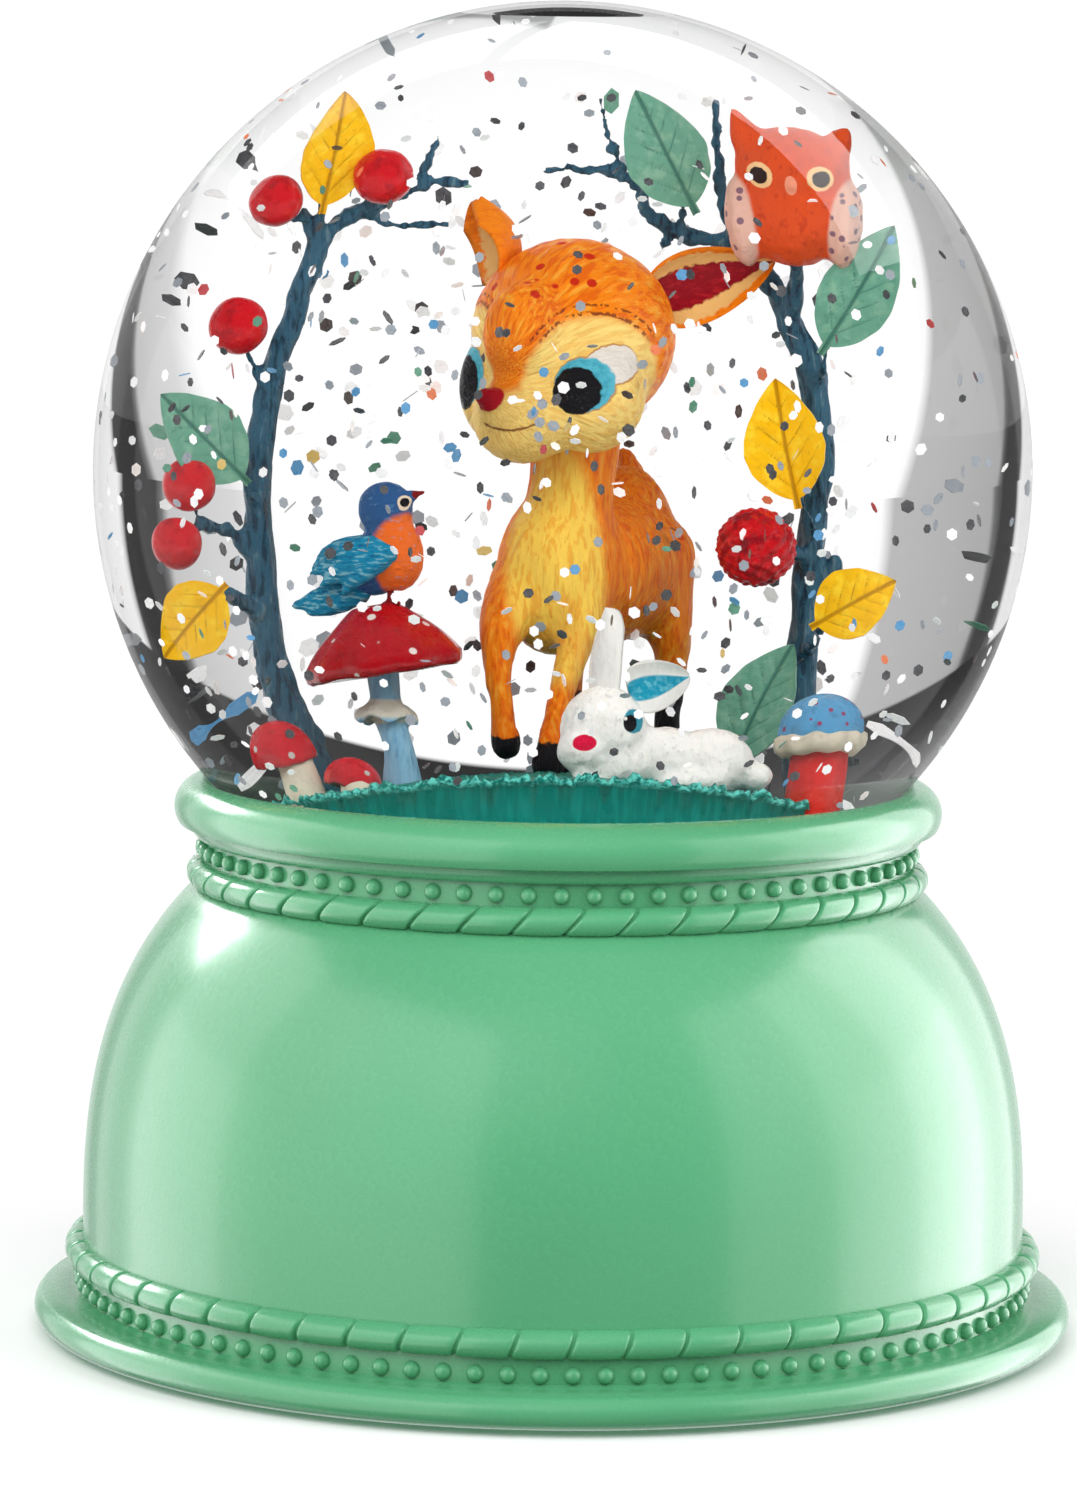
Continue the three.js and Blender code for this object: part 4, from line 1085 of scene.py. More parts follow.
def blue_mushroom(cream):
    middle = round_box("blue_mushroom")[0]
    x, y = middle.x + 0.6, middle.y
    blue = cap_paint("blue_cap_paint", ink(88, 156, 200), ink(146, 34, 78), 0.85, 0.24)
    top = cap("blue_cap_top", (x, y, 69.6), 3.95, 3.5, (0, 3, 0), blue, 0.03, 0.4)
    rings = []
    for r, z in ((0.5, 69.6), (3.5, 69.6), (4.15, 69.2), (4.25, 68.6), (4.1, 68.0), (3.5, 67.5), (0.5, 67.6)):
        level = [Vector((x, y, z + 0.1 * math.sin(7 * a))) for a in turns(160)]
        rings.append([p + radial(a) * (r + 0.14 * math.sin(11 * a)) for p, a in zip(level, turns(160))])
    stand_in("blue_mushroom", "blue_paint", top, piece("blue_mushroom_gills", *loft(rings), cream))
    trunk = Clay().limb([(x, y, mound_height(middle.x, y) - 0.8), (x, y, 68.2)], [3.0, 2.7])
    crimson = plain_paint("red_stalk_paint", ink(214, 36, 30))
    foot = trunk.model("blue_mushroom_foot", crimson, 0.35, 3, 0.25, 2, strokes(0.10, 1.6, 0.4))
    stand_in("blue_mushroom", "red_paint", foot)


# ---------------------------------------------------------------- trees
LEFT_TRUNK = (-21.5, 4)
RIGHT_TRUNK = (18.6, 6)


def bark_paint():
    paint = Paint("bark_paint_rough", ink(52, 94, 116))
    ridge = paint.noise(1.0, 4.0, (1.8, 1.8, 0.4), seed=1.0)
    # Painted shade in the low bark between ridges, and painted highlight stripes along the raised ridges.
    paint.lay(paint.fade(ridge, 0.5, 0.36), ink(20, 40, 56), 0.8)
    paint.lay(paint.fade(ridge, 0.58, 0.68), ink(112, 142, 150), 0.55)
    paint.mottle(2.6, 0.62, 0.7, ink(40, 128, 150), 0.5, 3.0, 5.0)
    paint.raise_by(ridge, 0.45)
    return paint.done(rough=0.36, vary=0.12, coat=0.15, mirror=0.15)


def bark(p):
    """Ridges that wind slowly up the trunk they are on."""
    trunk = LEFT_TRUNK if p[0] < 0 else RIGHT_TRUNK
    x, y = p[0] - trunk[0], p[1] - trunk[1]
    twist = 0.16 * p[2]
    cos, sin = math.cos(twist), math.sin(twist)
    spun = Vector((x * cos - y * sin, x * sin + y * cos, twist))
    return 0.42 * noise.noise(spun * 0.9) + 0.14 * noise.noise(spun * 2.1)


def tree(name, material, trunk, radii, branches):
    """A trunk, and branches given as their points and their thickness at the start and the end."""
    clay = Clay().limb(trunk, radii, 10)
    for points, start, end in branches:
        clay.limb(points, list(np.linspace(start, end, len(points))), 6)
    stand_in(name, "bark_paint", clay.model(name + "_figure", material, 0.34, 2, 0.24, 1, bark))


def trees():
    wood = bark_paint()
    tree("left_tree", wood, [
        (-17.6, 4, mound_height(-19.4, 4) - 1), (-19.4, 4, 68.6), (-22.0, 4, 75), (-23.2, 4, 83),
        (-23.3, 4, 92.7), (-21.9, 4, 100), (-19.2, 4, 108.2),
    ], [2.1, 1.7, 1.45, 1.25, 1.15, 1.0, 0.85], [
        ([(-19.2, 4, 108.2), (-17.0, 4, 110.4), (-13.5, 4, 111.8), (-10.4, 4, 113.0), (-7.6, 4, 113.2)],
         0.8, 0.35),
        ([(-12, 4, 112.4), (-10.9, 4, 114.4), (-10, 4, 116.8)], 0.48, 0.3),
        ([(-16.2, 4, 110.6), (-13.0, 4, 109.6), (-8.2, 4, 109.8)], 0.5, 0.28),
        ([(-19.2, 4, 108.2), (-20.2, 3.6, 110.0), (-20.8, 3, 111.4)], 0.7, 0.4),
        ([(-23.2, 4, 83), (-25.4, 3.0, 85.6), (-28.6, 1, 86.4)], 0.85, 0.5),
        ([(-22.8, 4, 79), (-25.6, 1, 80.6), (-28.4, -2.8, 80.4)], 0.85, 0.45),
        ([(-19.2, 4, 108.2), (-19.2, 3, 110.4), (-19.3, 2, 112.6)], 0.5, 0.32),
        ([(-20.6, 3, 110.4), (-22.0, 2, 110.8), (-23.4, 1.4, 112.6)], 0.4, 0.28),
        ([(-15.4, 4, 110.6), (-15.6, 2.4, 112.2), (-14.8, 1, 114.2)], 0.4, 0.28),
        ([(-23, 4, 97), (-24.8, 3, 99.6), (-26, 2, 102)], 0.5, 0.3),
        ([(-23.2, 4, 88), (-24.4, 2, 88.6), (-25.4, 0.2, 90.2)], 0.5, 0.3),
        ([(-28.6, 1, 86.4), (-29.4, 0.4, 87.6), (-30.2, 0, 89.2)], 0.4, 0.28),
        ([(-28.6, 1, 86.2), (-30.2, 0.4, 85.2), (-31.4, 0, 84.8)], 0.4, 0.28),
    ])
    tree("right_tree", wood, [
        (19.2, 6, mound_height(18.6, 6) - 1), (18.4, 6, 69), (18.4, 6, 76), (18.9, 6, 84), (19.7, 6, 92),
        (18.9, 6, 98), (16.9, 6, 103.4), (13.2, 6, 108),
    ], [1.9, 1.45, 1.25, 1.15, 1.1, 1.1, 0.95, 0.7], [
        ([(13.2, 6, 108), (12.0, 6, 112), (11.6, 6, 116), (11.6, 6, 119.6)], 0.62, 0.32),
        ([(13.2, 6, 108), (9.4, 6, 108.8), (6.6, 6, 110.2), (5, 6, 113.0), (1.4, 6, 113.8), (-1.8, 6, 113.6)],
         0.7, 0.3),
        ([(4.6, 6, 113), (3.4, 6, 116), (2.6, 6, 119.2)], 0.45, 0.28),
        ([(8.2, 6, 109.2), (7.4, 6, 107.6)], 0.4, 0.3),
        ([(17.2, 6, 102), (18, 4.6, 105), (18, 2, 109)], 0.9, 0.6),
        ([(9, 6, 109.2), (9.0, 5, 111), (9.6, 4, 112.6)], 0.4, 0.28),
        ([(18.9, 6, 97), (20.0, 4, 98.6), (20.6, 2, 101.6)], 0.5, 0.3),
        ([(19, 6, 84.6), (19.4, 3, 86.6), (18.4, 0, 89.6)], 0.5, 0.3),
        ([(18.9, 6, 84), (17.4, 2, 85), (15.4, -1, 85.2)], 0.6, 0.4),
        ([(18.6, 6, 77), (19.8, 1, 77.6), (21, -2.9, 79.2)], 0.5, 0.3),
        ([(18.9, 6, 81), (20.6, 5.6, 82.2), (21.0, 5.4, 84.0)], 0.8, 0.5),
    ])


# ---------------------------------------------------------------- leaves and fruit
def leaf_paint(name, colour, vein, light):
    paint = Paint(name, colour)
    paint.mottle(0.9, 0.45, 0.7, light, 0.6)
    paint.mottle(1.6, 0.56, 0.74, vein, 0.35, seed=4.0)
    paint.lay(paint.fade(paint.fact("Attribute", "Fac", attribute_name="vein"), 0.25, 0.8), vein, 0.75)
    paint.raise_by(paint.noise(2.6), 0.07)
    return paint.done(**SATIN)


def leaf(name, stem, tip, width, face, bend, material):
    """A broad leaf from stem to tip, its midrib and side veins pressed in, on a short stalk."""
    length, along, out, side = blade_axes(stem, tip, face)
    stem = Vector(stem)
    seed = Vector((stem.x, stem.z, 3.0))
    thick = 0.5
    rings, veins = [], []
    for v in np.linspace(0.0, 1.0, 54):
        body = max(v - 0.07, 0) / 0.93
        half = width / 2 * (math.sin(math.pi * body ** 0.82) ** 0.82 if 0 < body < 1 else 0) * 1.02
        half = max(half, 0.26 * (1 - v) ** 0.5 + 0.04)
        half *= 1 + 0.05 * noise.noise(Vector((v * 9, 0, 0)) + seed)
        centre = stem + along * length * v + out * bend * (math.sin(math.pi * v) - 0.4 * v)
        front, back, row = [], [], []
        for u in np.linspace(-1, 1, 33):
            branch = v * 6.5 - abs(u) * half / width * 4.4
            nearest = abs(branch - round(branch))
            side_vein = math.exp(-(nearest / 0.09) ** 2) * (1 - abs(u) ** 4) * min(half / width * 3, 1)
            vein = max(math.exp(-(u * half / 0.2) ** 2), 0.75 * side_vein)
            cup = 0.16 * half * u * u + 0.28 * noise.noise(Vector((u * 1.5, v * 4, 1)) + seed) * abs(u)
            spot = centre + side * half * u
            front.append(spot + out * (cup - 0.22 * vein + thick / 2))
            back.append(spot + out * (cup + 0.12 * vein - thick / 2 + 0.2 * abs(u) ** 3))
            row.append(vein)
        rings.append(front + back[::-1])
        veins += row + row[::-1]
    blade = piece(name + "_blade", *loft(rings), material, sharp=60, vein=veins + [0.0, 0.0])
    stand_in(name, "mustard_paint" if "yellow" in name else "sage_paint", blade)


def leaves():
    mustard = leaf_paint("mustard_leaf_paint", ink(248, 190, 16), ink(176, 122, 12), ink(255, 222, 60))
    sage = leaf_paint("sage_leaf_paint", ink(104, 160, 136), ink(56, 108, 96), ink(142, 186, 160))
    leaf("leaf_yellow_top", (-19.4, 2, 111.0), (-18.4, 1.4, 122.2), 6.4, (0.3, -1, 0), 0.7, mustard)
    leaf("leaf_green_left", (-24.8, 0.4, 89.6), (-32.8, 0, 96.8), 6.2, (-0.1, -1, 0.2), 0.6, sage)
    leaf("leaf_yellow_low_left", (-27.2, -3, 81.6), (-33.8, -3, 74.8), 6.2, (-0.2, -1, 0.1), 0.8, mustard)
    leaf("leaf_green_top", (10.2, 4, 110.8), (5.4, 3.6, 120.8), 6.4, (0, -1, 0), 0.6, sage)
    leaf("leaf_green_right", (20, 2, 100.2), (26.4, 2, 110.8), 6.0, (0.2, -1, 0), 0.7, sage)
    leaf("leaf_yellow_right", (18.6, 0, 88.2), (16.6, 0, 98.4), 6.4, (-0.1, -1, 0), 0.7, mustard)
    leaf("leaf_yellow_low_right", (20.0, -3, 78.8), (27.0, -3, 82.6), 5.8, (0, -1, 0.15), 0.6, mustard)
    leaf("leaf_green_ground", (13.6, 0, 67.4), (18.2, 0, 77.6), 6.0, (-0.3, -1, 0), 0.9, sage)


def berries():
    paint = Paint("berry_paint", ink(200, 22, 32))
    paint.mottle(0.8, 0.48, 0.7, ink(150, 12, 26), 0.7)
    paint.mottle(1.4, 0.6, 0.74, ink(226, 60, 48), 0.6, 3.0, 8.0)
    paint.raise_by(paint.noise(1.2, 4.0), 0.12)
    skin = paint.done(rough=0.26, vary=0.06, coat=0.25, mirror=0.15)
    uneven = strokes(0.06, 0.8, 0.8)
    for name in ("top_left", "top_middle", "left", "low_upper", "low_lower"):
        centre, radius = round_box("berry_" + name)
        dent = centre + Vector((0.3, -0.86 * radius, 0.55 * radius))

        def carve(p):
            return uneven(p) - 0.25 * math.exp(-((Vector(p) - dent).length / 0.45) ** 2)

        clay = Clay().egg(centre, (radius * 1.04, radius, radius * 0.97))
        stand_in("berry_" + name, "red_paint", clay.model("fruit_" + name, skin, 0.22, 3, 0.17, 2, carve))


def raspberry():
    """Small drupelets, spaced by the golden angle, over one egg."""
    paint = Paint("raspberry_paint", ink(196, 16, 26))
    paint.mottle(0.7, 0.45, 0.7, ink(96, 8, 22), 0.8)
    paint.mottle(1.6, 0.6, 0.7, ink(222, 50, 44), 0.7, seed=2.0)
    paint.raise_by(paint.noise(2.0, 4.0), 0.2)
    skin = paint.done(rough=0.3, vary=0.1, coat=0.25, mirror=0.15)
    centre = round_box("raspberry")[0]
    radii = Vector((2.95, 2.8, 2.85))
    clay = Clay().egg(centre, radii)
    chance = random.Random(5)
    drupelets = 130
    for k in range(drupelets):
        z = 1 - 2 * (k + 0.5) / drupelets
        spot = radial(math.pi * (3 - math.sqrt(5)) * k) * math.sqrt(1 - z * z) + Vector((0, 0, z))
        clay.egg(centre + spot * radii, [0.36 + 0.08 * chance.random()] * 3)
    stand_in("raspberry", "red_paint", clay.model("raspberry_fruit", skin, 0.2, 1, 0.14, 1))


# ---------------------------------------------------------------- owl
OWL_X = 18.2


def owl_paint():
    paint = Paint("owl_paint_red", ink(216, 78, 34), wobble=0.25)
    tuft = paint.noise(1.0, 4.0, (1.6, 1.6, 1.0), seed=4.0)
    paint.lay(paint.fade(tuft, 0.54, 0.7), ink(176, 48, 28), 0.6)
    for side in SIDES:
        wing = paint.within((OWL_X + side * 4.8, 0.4, 110.8), (2.0, 3.6, 4.2), 0.2, (0, side * 8, 0))
        paint.lay(wing, ink(222, 176, 158))
        paint.lay(paint.both(wing, paint.dots(0.9, 0.3)), ink(92, 60, 96), 0.8)
        eye = (OWL_X + side * 2.7, -2.2, 115.2)
        paint.lay(paint.within(eye, (1.25, 2.2, 1.25), 0.08), ink(240, 196, 140))
        paint.lay(paint.within(eye, (0.82, 2.2, 0.82), 0.08), ink(40, 26, 26))
    paint.lay(paint.within((OWL_X + 0.1, -2.6, 114.6), (0.55, 1.6, 0.9), 0.1), ink(236, 150, 120))
    paint.raise_by(tuft, 0.25)
    return paint.done(**SATIN)


def owl():
    clay = Clay()
    clay.egg((OWL_X, 1.4, 111.6), (4.5, 3.8, 4.4))
    clay.egg((OWL_X, 1.4, 115.6), (4.9, 3.6, 3.3))
    clay.limb([(15.0, 1.4, 116.6), (14.0, 1.4, 118.6), (13.4, 1.4, 120.2)], [1.7, 1.15, 0.4], 5)
    clay.limb([(21.4, 1.4, 116.6), (22.6, 1.4, 118.4), (23.6, 1.4, 119.8)], [1.7, 1.15, 0.4], 5)
    clay.limb([(18.3, -1.8, 115.2), (18.3, -2.6, 114.2)], [0.5, 0.25], 3)
    for side in SIDES:
        clay.egg((OWL_X + side * 4.2, 1.2, 110.8), (1.4, 2.8, 3.8), (0, side * 8, 0))
    figure = clay.model("owl_figure", owl_paint(), 0.4, 5, 0.24, 2, strokes(0.09, 1.3, 0.9, 4.0))
    stand_in("owl", "owl_paint", figure)


# ---------------------------------------------------------------- glitter
FLAKES = 1250
# Painted reflection: the white, dark and grey shares stand for silver flakes mirroring bright or dark
# surroundings.
FLAKE_COLOURS = (
    (ink(250, 250, 250), 0.47),
    (ink(24, 26, 32), 0.25),
    (ink(140, 148, 156), 0.18),
    (ink(60, 140, 190), 0.03),
    (ink(226, 112, 50), 0.02),
    (ink(184, 36, 40), 0.01),
    (ink(210, 178, 90), 0.01),
    (ink(60, 130, 100), 0.03),
)


def loose_flakes(chance):
    """The place, size, turn and colour of each flake: thickest low down and on the viewer's left."""
    reach = BALL_INNER - 0.8
    made = 0
    while made < FLAKES:
        spot = Vector([chance.uniform(-1, 1) * reach for _ in range(3)])
        inside = spot.length <= reach
        spot.z += BALL_CENTRE
        if not inside or spot.z < mound_height(spot.x, spot.y) + 0.4 or spot.z > WATER_TOP - 0.5:
            continue
        if chance.random() > 0.62 + 0.25 * (BALL_CENTRE - spot.z) / BALL_INNER - 0.2 * spot.x / BALL_INNER:
            continue
        size = chance.uniform(0.46, 0.58)
        turn = Euler([chance.uniform(0, 2 * math.pi) for _ in range(3)]).to_matrix()
        if abs(turn.col[2].y) < 0.4 and chance.random() < 0.6:
            continue
        pick = chance.random()
        for colour, share in FLAKE_COLOURS:
            pick -= share
            if pick <= 0:
                break
        made += 1
        yield spot, size, turn, colour[:3]


def glitter():
    """Loose six-sided flakes in the water."""
    points, faces, colours = [], [], []
    for spot, size, turn, colour in loose_flakes(random.Random(11)):
        start = len(points)
        for half in (-0.025, 0.025):
            points.extend(spot + turn @ (radial(a) * size + Vector((0, 0, half))) for a in turns(6))
        low, high = [start + k for k in range(6)], [start + 6 + k for k in range(6)]
        faces += [low[::-1], high]
        faces += [(low[k - 1], low[k], high[k], high[k - 1]) for k in range(6)]
        colours.extend([colour] * 12)
    paint = Paint("glitter_foil", (1, 1, 1, 1))
    tint = paint.fact("Attribute", "Vector", attribute_name="foil")
    paint.colour = paint.mixed(paint.both(paint.noise(3.0), 0.3), tint, (0.5, 0.5, 0.52, 1))
    # Painted light: each flake also glows faintly in its own colour.
    paint.put(paint.shader.inputs["Emission Color"], tint)
    paint.put(paint.shader.inputs["Emission Strength"], 0.22)
    piece("glitter", points, faces, paint.done(rough=0.3, vary=0.12, metal=0.2), sharp=30, foil=colours)


# ---------------------------------------------------------------- plastics, metal and cells
def dress(material, *names):
    for name in names:
        for slot in frame["nodes"][name].material_slots:
            slot.material = material


def moulded(name, colour, rough=0.5, grain=0.03):
    paint = Paint(name, colour)
    paint.mottle(0.2, 0.4, 0.7, lighter(colour, 0.06), 0.8, 3.0)
    paint.raise_by(paint.noise(6.0, 2.0), grain)
    return paint.done(rough=rough, vary=0.08)


def steel():
    paint = Paint("plated_steel", ink(198, 200, 204))
    brushed = paint.noise(1.0, 3.0, (0.6, 6.0, 6.0))
    paint.lay(paint.fade(brushed, 0.4, 0.7), ink(150, 154, 160), 0.5)
    paint.raise_by(brushed, 0.02)
    return paint.done(rough=0.28, vary=0.08, metal=1.0)


def cell_skin(node, way):
    """A battery's printed skin: dark body, one pale ring, bare metal ends."""
    low, high = box_mm(node)
    centre, half = (low.y + high.y) / 2, (high.y - low.y) / 2
    paint = Paint(node + "_skin", ink(52, 96, 72))
    paint.mottle(0.5, 0.4, 0.7, ink(40, 76, 58), 0.6, 3.0)
    ring = paint.beyond((0, way, 0), way * centre + half - 13, 0.1)
    paint.lay(ring, ink(206, 170, 84))
    ends = paint.most(paint.beyond((0, way, 0), way * centre + half - 2.7, 0.1),
                      paint.beyond((0, -way, 0), -way * centre + half - 0.7, 0.1))
    paint.lay(ends, ink(196, 198, 202))
    paint.raise_by(paint.noise(3.0), 0.02)
    return paint.done(rough=0.3, vary=0.06, coat=0.3, metal=paint.most(ends, paint.both(ring, 0.6)))


def board_paint():
    paint = Paint("board_mask", ink(236, 236, 226))
    tracks = paint.fade(paint.math("ABSOLUTE", paint.minus(paint.noise(0.12, 1.0), 0.5)), 0.02, 0.012)
    paint.lay(tracks, ink(200, 196, 170), 0.6)
    paint.raise_by(tracks, 0.04)
    return paint.done(rough=0.35, vary=0.06, coat=0.3)


def lens_paint():
    paint = Paint("led_lens", ink(250, 240, 214))
    paint.put(paint.shader.inputs["Transmission Weight"], 0.7)
    paint.raise_by(paint.noise(1.0), 0.01)
    return paint.done(rough=0.12, vary=0.04)


def plug_paint():
    paint = Paint("plug_silicone", ink(222, 224, 220))
    paint.mottle(0.3, 0.4, 0.7, ink(206, 210, 208), 0.5, 3.0)
    paint.raise_by(paint.noise(1.2), 0.04)
    return paint.done(rough=0.5, vary=0.1, scatter=0.3)


def dress_hardware():
    dress(moulded("dark_moulded_plastic", ink(44, 48, 50)), "bottom_cover", "switch_body")
    dress(moulded("door_plastic", ink(48, 52, 54)), "battery_door")
    dress(moulded("slider_plastic", ink(226, 226, 220), 0.4, 0.015), "switch_slider")
    dress(moulded("cup_plastic", ink(238, 238, 234), 0.35, 0.01), "reflector_cup")
    feet = ["rubber_foot_%d" % k for k in (1, 2, 3, 4)]
    dress(moulded("soft_rubber", ink(48, 48, 50), 0.8, 0.06), "ball_gasket", *feet)
    screws = ["cover_screw_%d" % k for k in (1, 2, 3)]
    metal = steel()
    dress(metal, "door_screw", *screws)
    for side, way in (("left", 1), ("middle", -1), ("right", 1)):
        dress(metal, "contact_spring_" + side, "contact_plate_" + side)
        dress(cell_skin("battery_" + side, way), "battery_" + side)
    dress(board_paint(), "led_board")
    dress(lens_paint(), "led_1", "led_2", "led_3")
    dress(moulded("wire_red_skin", ink(190, 36, 30), 0.45, 0.02), "wire_red")
    dress(moulded("wire_black_skin", ink(30, 30, 32), 0.45, 0.02), "wire_black")
    dress(plug_paint(), "ball_plug")


# ---------------------------------------------------------------- studio
CAMERA_PLACE = Vector((-6.85, -601.08, 128.60))
LENS = 137.45
PITCH, YAW, ROLL = radians((6.372, 0.448, 0.7327))


def camera():
    forward = Vector((math.sin(YAW) * math.cos(PITCH), math.cos(YAW) * math.cos(PITCH), -math.sin(PITCH)))
    level_right = Vector((math.cos(YAW), -math.sin(YAW), 0))
    level_up = level_right.cross(forward)
    right = level_right * math.cos(ROLL) + level_up * math.sin(ROLL)
    up = level_up * math.cos(ROLL) - level_right * math.sin(ROLL)
    data = bpy.data.cameras.new("camera")
    data.lens = LENS
    data.sensor_width = 36
    thing = placed("camera", data)
    turn = Matrix((right, up, -forward)).transposed().to_4x4()
    thing.matrix_world = Matrix.Translation(CAMERA_PLACE * MM) @ turn
    bpy.context.scene.camera = thing


# What stands round the object, as bent sight lines see it: brightness by the angle to the left of the view.
ROUND_ABOUT = ((-60, 1.0), (-47, 1.0), (-45, 0.05), (-34, 0.04), (-33, 0.56), (-22, 0.7), (-18, 1.05),
               (21, 1.05), (22.5, 0.5), (41, 0.4), (42.5, 0.06), (52, 0.07), (54, 1.0))
CARD_RIGHT = 60  # the dark card on the right starts this far from the axis, the grey one on the left this far
CARD_LEFT = -20
SWEEP_TOP = 15.3  # degrees above level at which the lit backdrop ends
DARK = 0.035


def round_about(nodes, spot, near):
    """Brightness round the object for a direction, or for a place on the table, and its angle to the left."""
    view = nodes.node("VectorTransform", (0, 0, 1), vector_type="VECTOR", convert_from="CAMERA",
                      convert_to="WORLD")
    ahead = nodes.vector("NORMALIZE", nodes.vector("MULTIPLY", view.outputs[0], (1, 1, 0)))
    side = nodes.vector("DOT_PRODUCT", spot, nodes.vector("CROSS_PRODUCT", ahead, (0, 0, 1)))
    depth = nodes.vector("DOT_PRODUCT", spot, ahead)
    if near:
        side = nodes.minus(side, nodes.fade(side, -5.0, 5.0, CARD_LEFT, CARD_RIGHT))
    left = nodes.both(nodes.math("ARCTAN2", side, depth), -180 / math.pi)
    ramp = nodes.node("ValToRGB", nodes.plus(nodes.math("DIVIDE", left, 360.0), 0.5))
    steps = ramp.color_ramp.elements
    for k, (angle, tone) in enumerate(ROUND_ABOUT):
        step = steps[k] if k < 2 else steps.new(1.0)
        step.position = (angle + 180) / 360
        step.color = (tone, tone, tone, 1)
    return nodes.both(ramp.outputs[0], 1.0), left


def world():
    """White for the camera; for bent and mirrored sight lines a dark studio with a lit sweep."""
    sky = bpy.data.worlds.new("studio")
    sky.use_nodes = True
    bpy.context.scene.world = sky
    nodes = Nodes(sky.node_tree)
    nodes.tree.nodes.clear()
    direction = nodes.vector("NORMALIZE", nodes.fact("TexCoord", "Generated"))
    height = nodes.both(nodes.math("ARCSINE", nodes.split(direction)[2]), 180 / math.pi)
    tone, left = round_about(nodes, direction, False)
    ahead = nodes.fade(nodes.math("ABSOLUTE", left), 110.0, 90.0)
    lit = nodes.both(nodes.fade(height, SWEEP_TOP + 0.3, SWEEP_TOP - 0.3), ahead)
    ceiling = nodes.fade(height, 40.0, 75.0, 0.0, 0.35)
    haze = nodes.both(nodes.fade(height, 16.0, 34.0, 0.0, 0.16), nodes.fade(left, 0.0, 25.0))
    amount = nodes.most(nodes.both(lit, tone), nodes.plus(nodes.most(ceiling, haze), DARK))
    seen = nodes.fact("LightPath", "Is Camera Ray")
    nodes.node("OutputWorld", nodes.node("Background", (1, 1, 1, 1), nodes.most(seen, amount)).outputs[0])


def floor():
    """A pale table that turns into the white sweep away from the object."""
    paint = Paint("table_surface", ink(240, 240, 240))
    paint.raise_by(paint.noise(0.5), 0.02)
    material = paint.done(rough=0.55, vary=0.05)
    distance = paint.vector("LENGTH", paint.place)
    seen = paint.fact("LightPath", "Is Camera Ray")
    tone = round_about(paint, paint.place, True)[0]
    # Painted shade: for all but camera rays the table glows, and less so close to the object, as if the base
    # shaded it.
    shaded = paint.both(tone, paint.fade(distance, 55.0, 120.0, 0.7, 1.0))
    glow = paint.node("Emission", None, paint.most(seen, shaded)).outputs[0]
    far = paint.most(paint.minus(1.0, seen), paint.fade(distance, 48.0, 104.0))
    surface = paint.one_of(far, paint.shader.outputs[0], glow)
    # Seen from underneath the table is not there, so the bottom of the base can be looked at.
    behind = paint.fact("NewGeometry", "Backfacing")
    one_sided = paint.one_of(behind, surface, paint.fact("BsdfTransparent", 0))
    paint.put(paint.tree.nodes["Material Output"].inputs["Surface"], one_sided)
    reach, corners = 2600, 64
    mesh = bpy.data.meshes.new("table")
    mesh.from_pydata([radial(a) * reach * MM for a in turns(corners)], [], [tuple(range(corners))])
    mesh.materials.append(material)
    thing = placed("table", mesh)
    thing.visible_glossy = False


def lamp(name, place, turn, size, radiance, diffuse=True, mirrored=True):
    """An area light at a place in mm."""
    data = bpy.data.lights.new(name, "AREA")
    data.shape = "RECTANGLE"
    data.size, data.size_y = size[0] * MM, size[1] * MM
    data.energy = radiance * math.pi * data.size * data.size_y
    thing = placed(name, data)
    thing.location = Vector(place) * MM
    thing.rotation_euler = turn
    thing.visible_diffuse = diffuse
    thing.visible_glossy = mirrored
    thing.visible_transmission = False
    return thing


def softbox(name, azimuth, elevation, distance, size, radiance, **seen):
    """A light that looks at the object; azimuth is measured from the viewer, + to the right."""
    a, e = radians((azimuth, elevation))
    out = Vector((math.sin(a) * math.cos(e), -math.cos(a) * math.cos(e), math.sin(e)))
    place = Vector((0, 0, BALL_CENTRE - 20)) + out * distance
    return lamp(name, place, out.to_track_quat("Z", "Y").to_euler(), size, radiance, **seen)


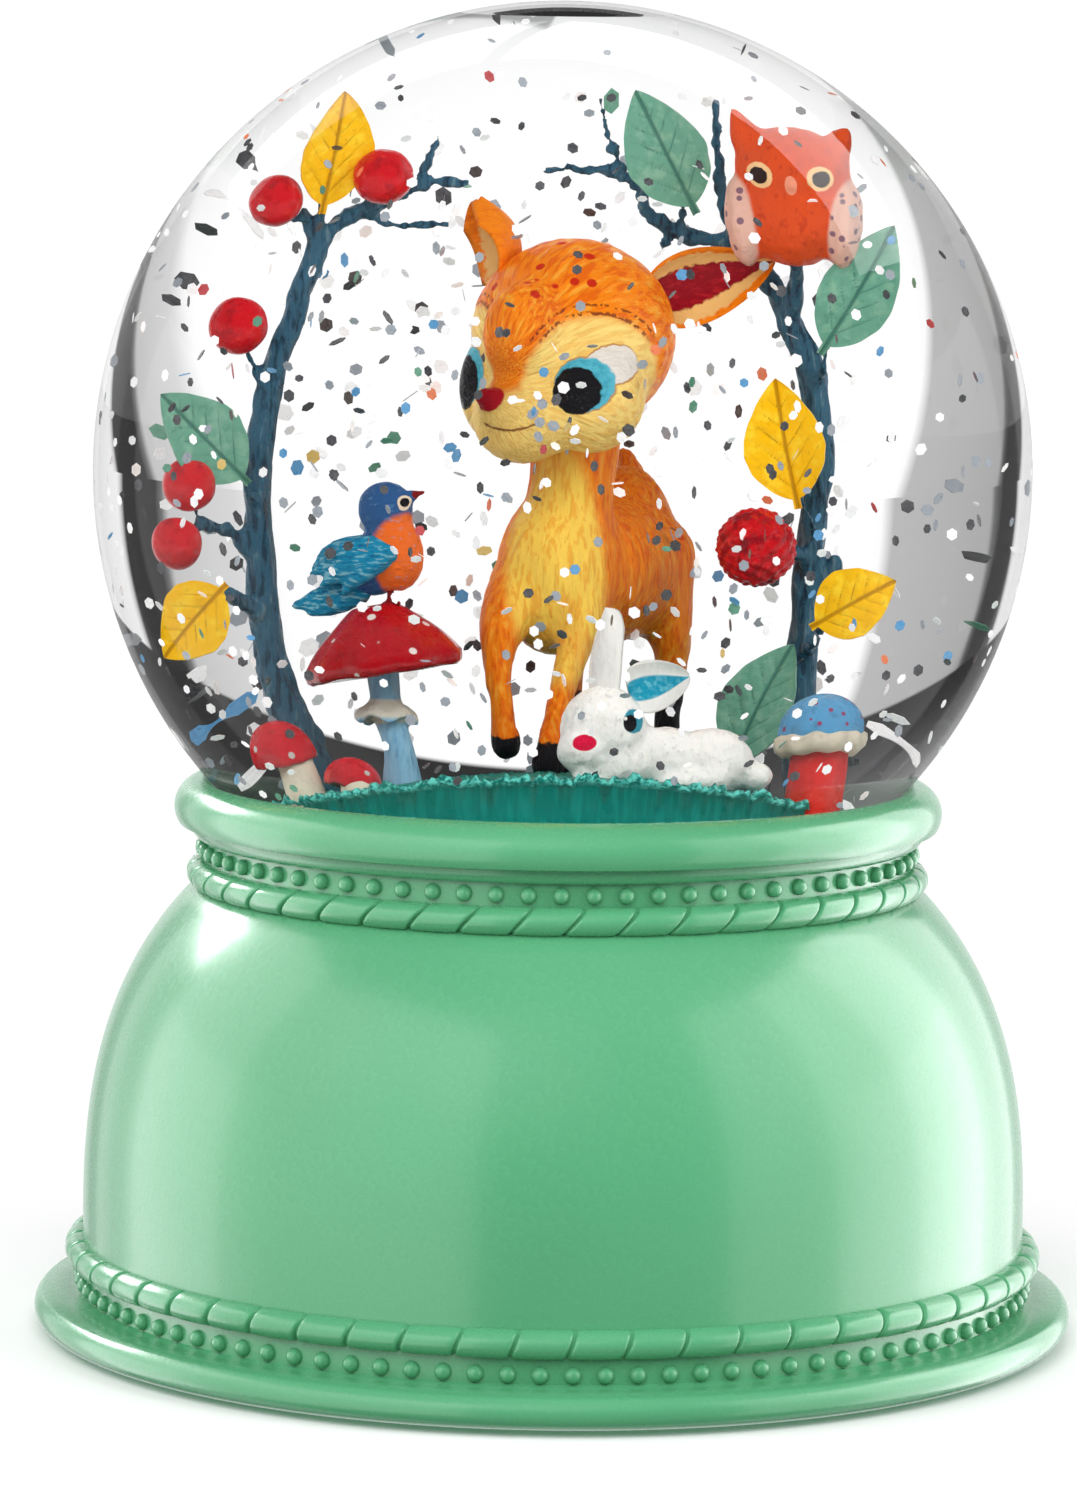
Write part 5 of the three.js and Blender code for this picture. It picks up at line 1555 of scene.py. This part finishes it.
def ceiling_box(name, across, radiance, width):
    """A long box above and behind the ball, which mirrors it as a white arc near its top."""
    up = 500
    place = (across * up, (0.9 - 0.27 * across) * up, BALL_CENTRE + up)
    return lamp(name, place, (0, 0, math.radians(-15)), (width * up, 0.72 * up), radiance, diffuse=False)


# What the base mirrors: azimuth from and to, and how bright.
SHEENS = (
    (-144, -120, 1.1),
    (-120, -84, 2.8),
    (-84, -18, 1.5),
    (40, 68, 1.5),
    (68, 94, 3.4),
    (94, 124, 5.2),
    (124, 146, 2.4),
)
SHEEN_FAR = 560


def lights(clear_things):
    """Tall boxes shape the base and the figures; the ball itself mirrors only its own panels."""
    matte = [
        softbox("left_spot", -138, 25, 560, (300, 130), 13.0, diffuse=False),
        softbox("left_fill", -70, 30, 700, (500, 500), 3.4, mirrored=False),
        softbox("right_fill", 62, 30, 700, (500, 500), 4.7, mirrored=False),
        softbox("front_fill", -10, 34, 900, (700, 600), 5.4, mirrored=False),
        softbox("back_fill", 175, 40, 700, (500, 400), 2.6, mirrored=False),
    ]
    for k, (start, end, radiance) in enumerate(SHEENS):
        size = (2 * SHEEN_FAR * math.tan(math.radians(end - start) / 2), 1000)
        matte.append(softbox("sheen_%d" % k, (start + end) / 2, 3, SHEEN_FAR, size, radiance, diffuse=False))
    panels = [ceiling_box("ceiling_right", 0.75, 6.0, 1.7), ceiling_box("ceiling_left", -0.75, 2.0, 1.3)]
    for one in matte + panels:
        receivers = bpy.data.collections.new(one.name + "_receivers")
        for thing in clear_things:
            receivers.objects.link(thing)
        one.light_linking.receiver_collection = receivers
        for entry in receivers.collection_objects:
            entry.light_linking.link_state = "INCLUDE" if one in panels else "EXCLUDE"


bpy.context.scene.view_settings.view_transform = "Standard"
base_casting()
clear_things = [clear_ball(), air_bubble()]
mound()
fawn_body()
fawn_head()
rabbit()
bird()
tall_mushroom()
small_mushrooms()
trees()
leaves()
berries()
raspberry()
owl()
glitter()
dress_hardware()
world()
floor()
lights(clear_things)
camera()
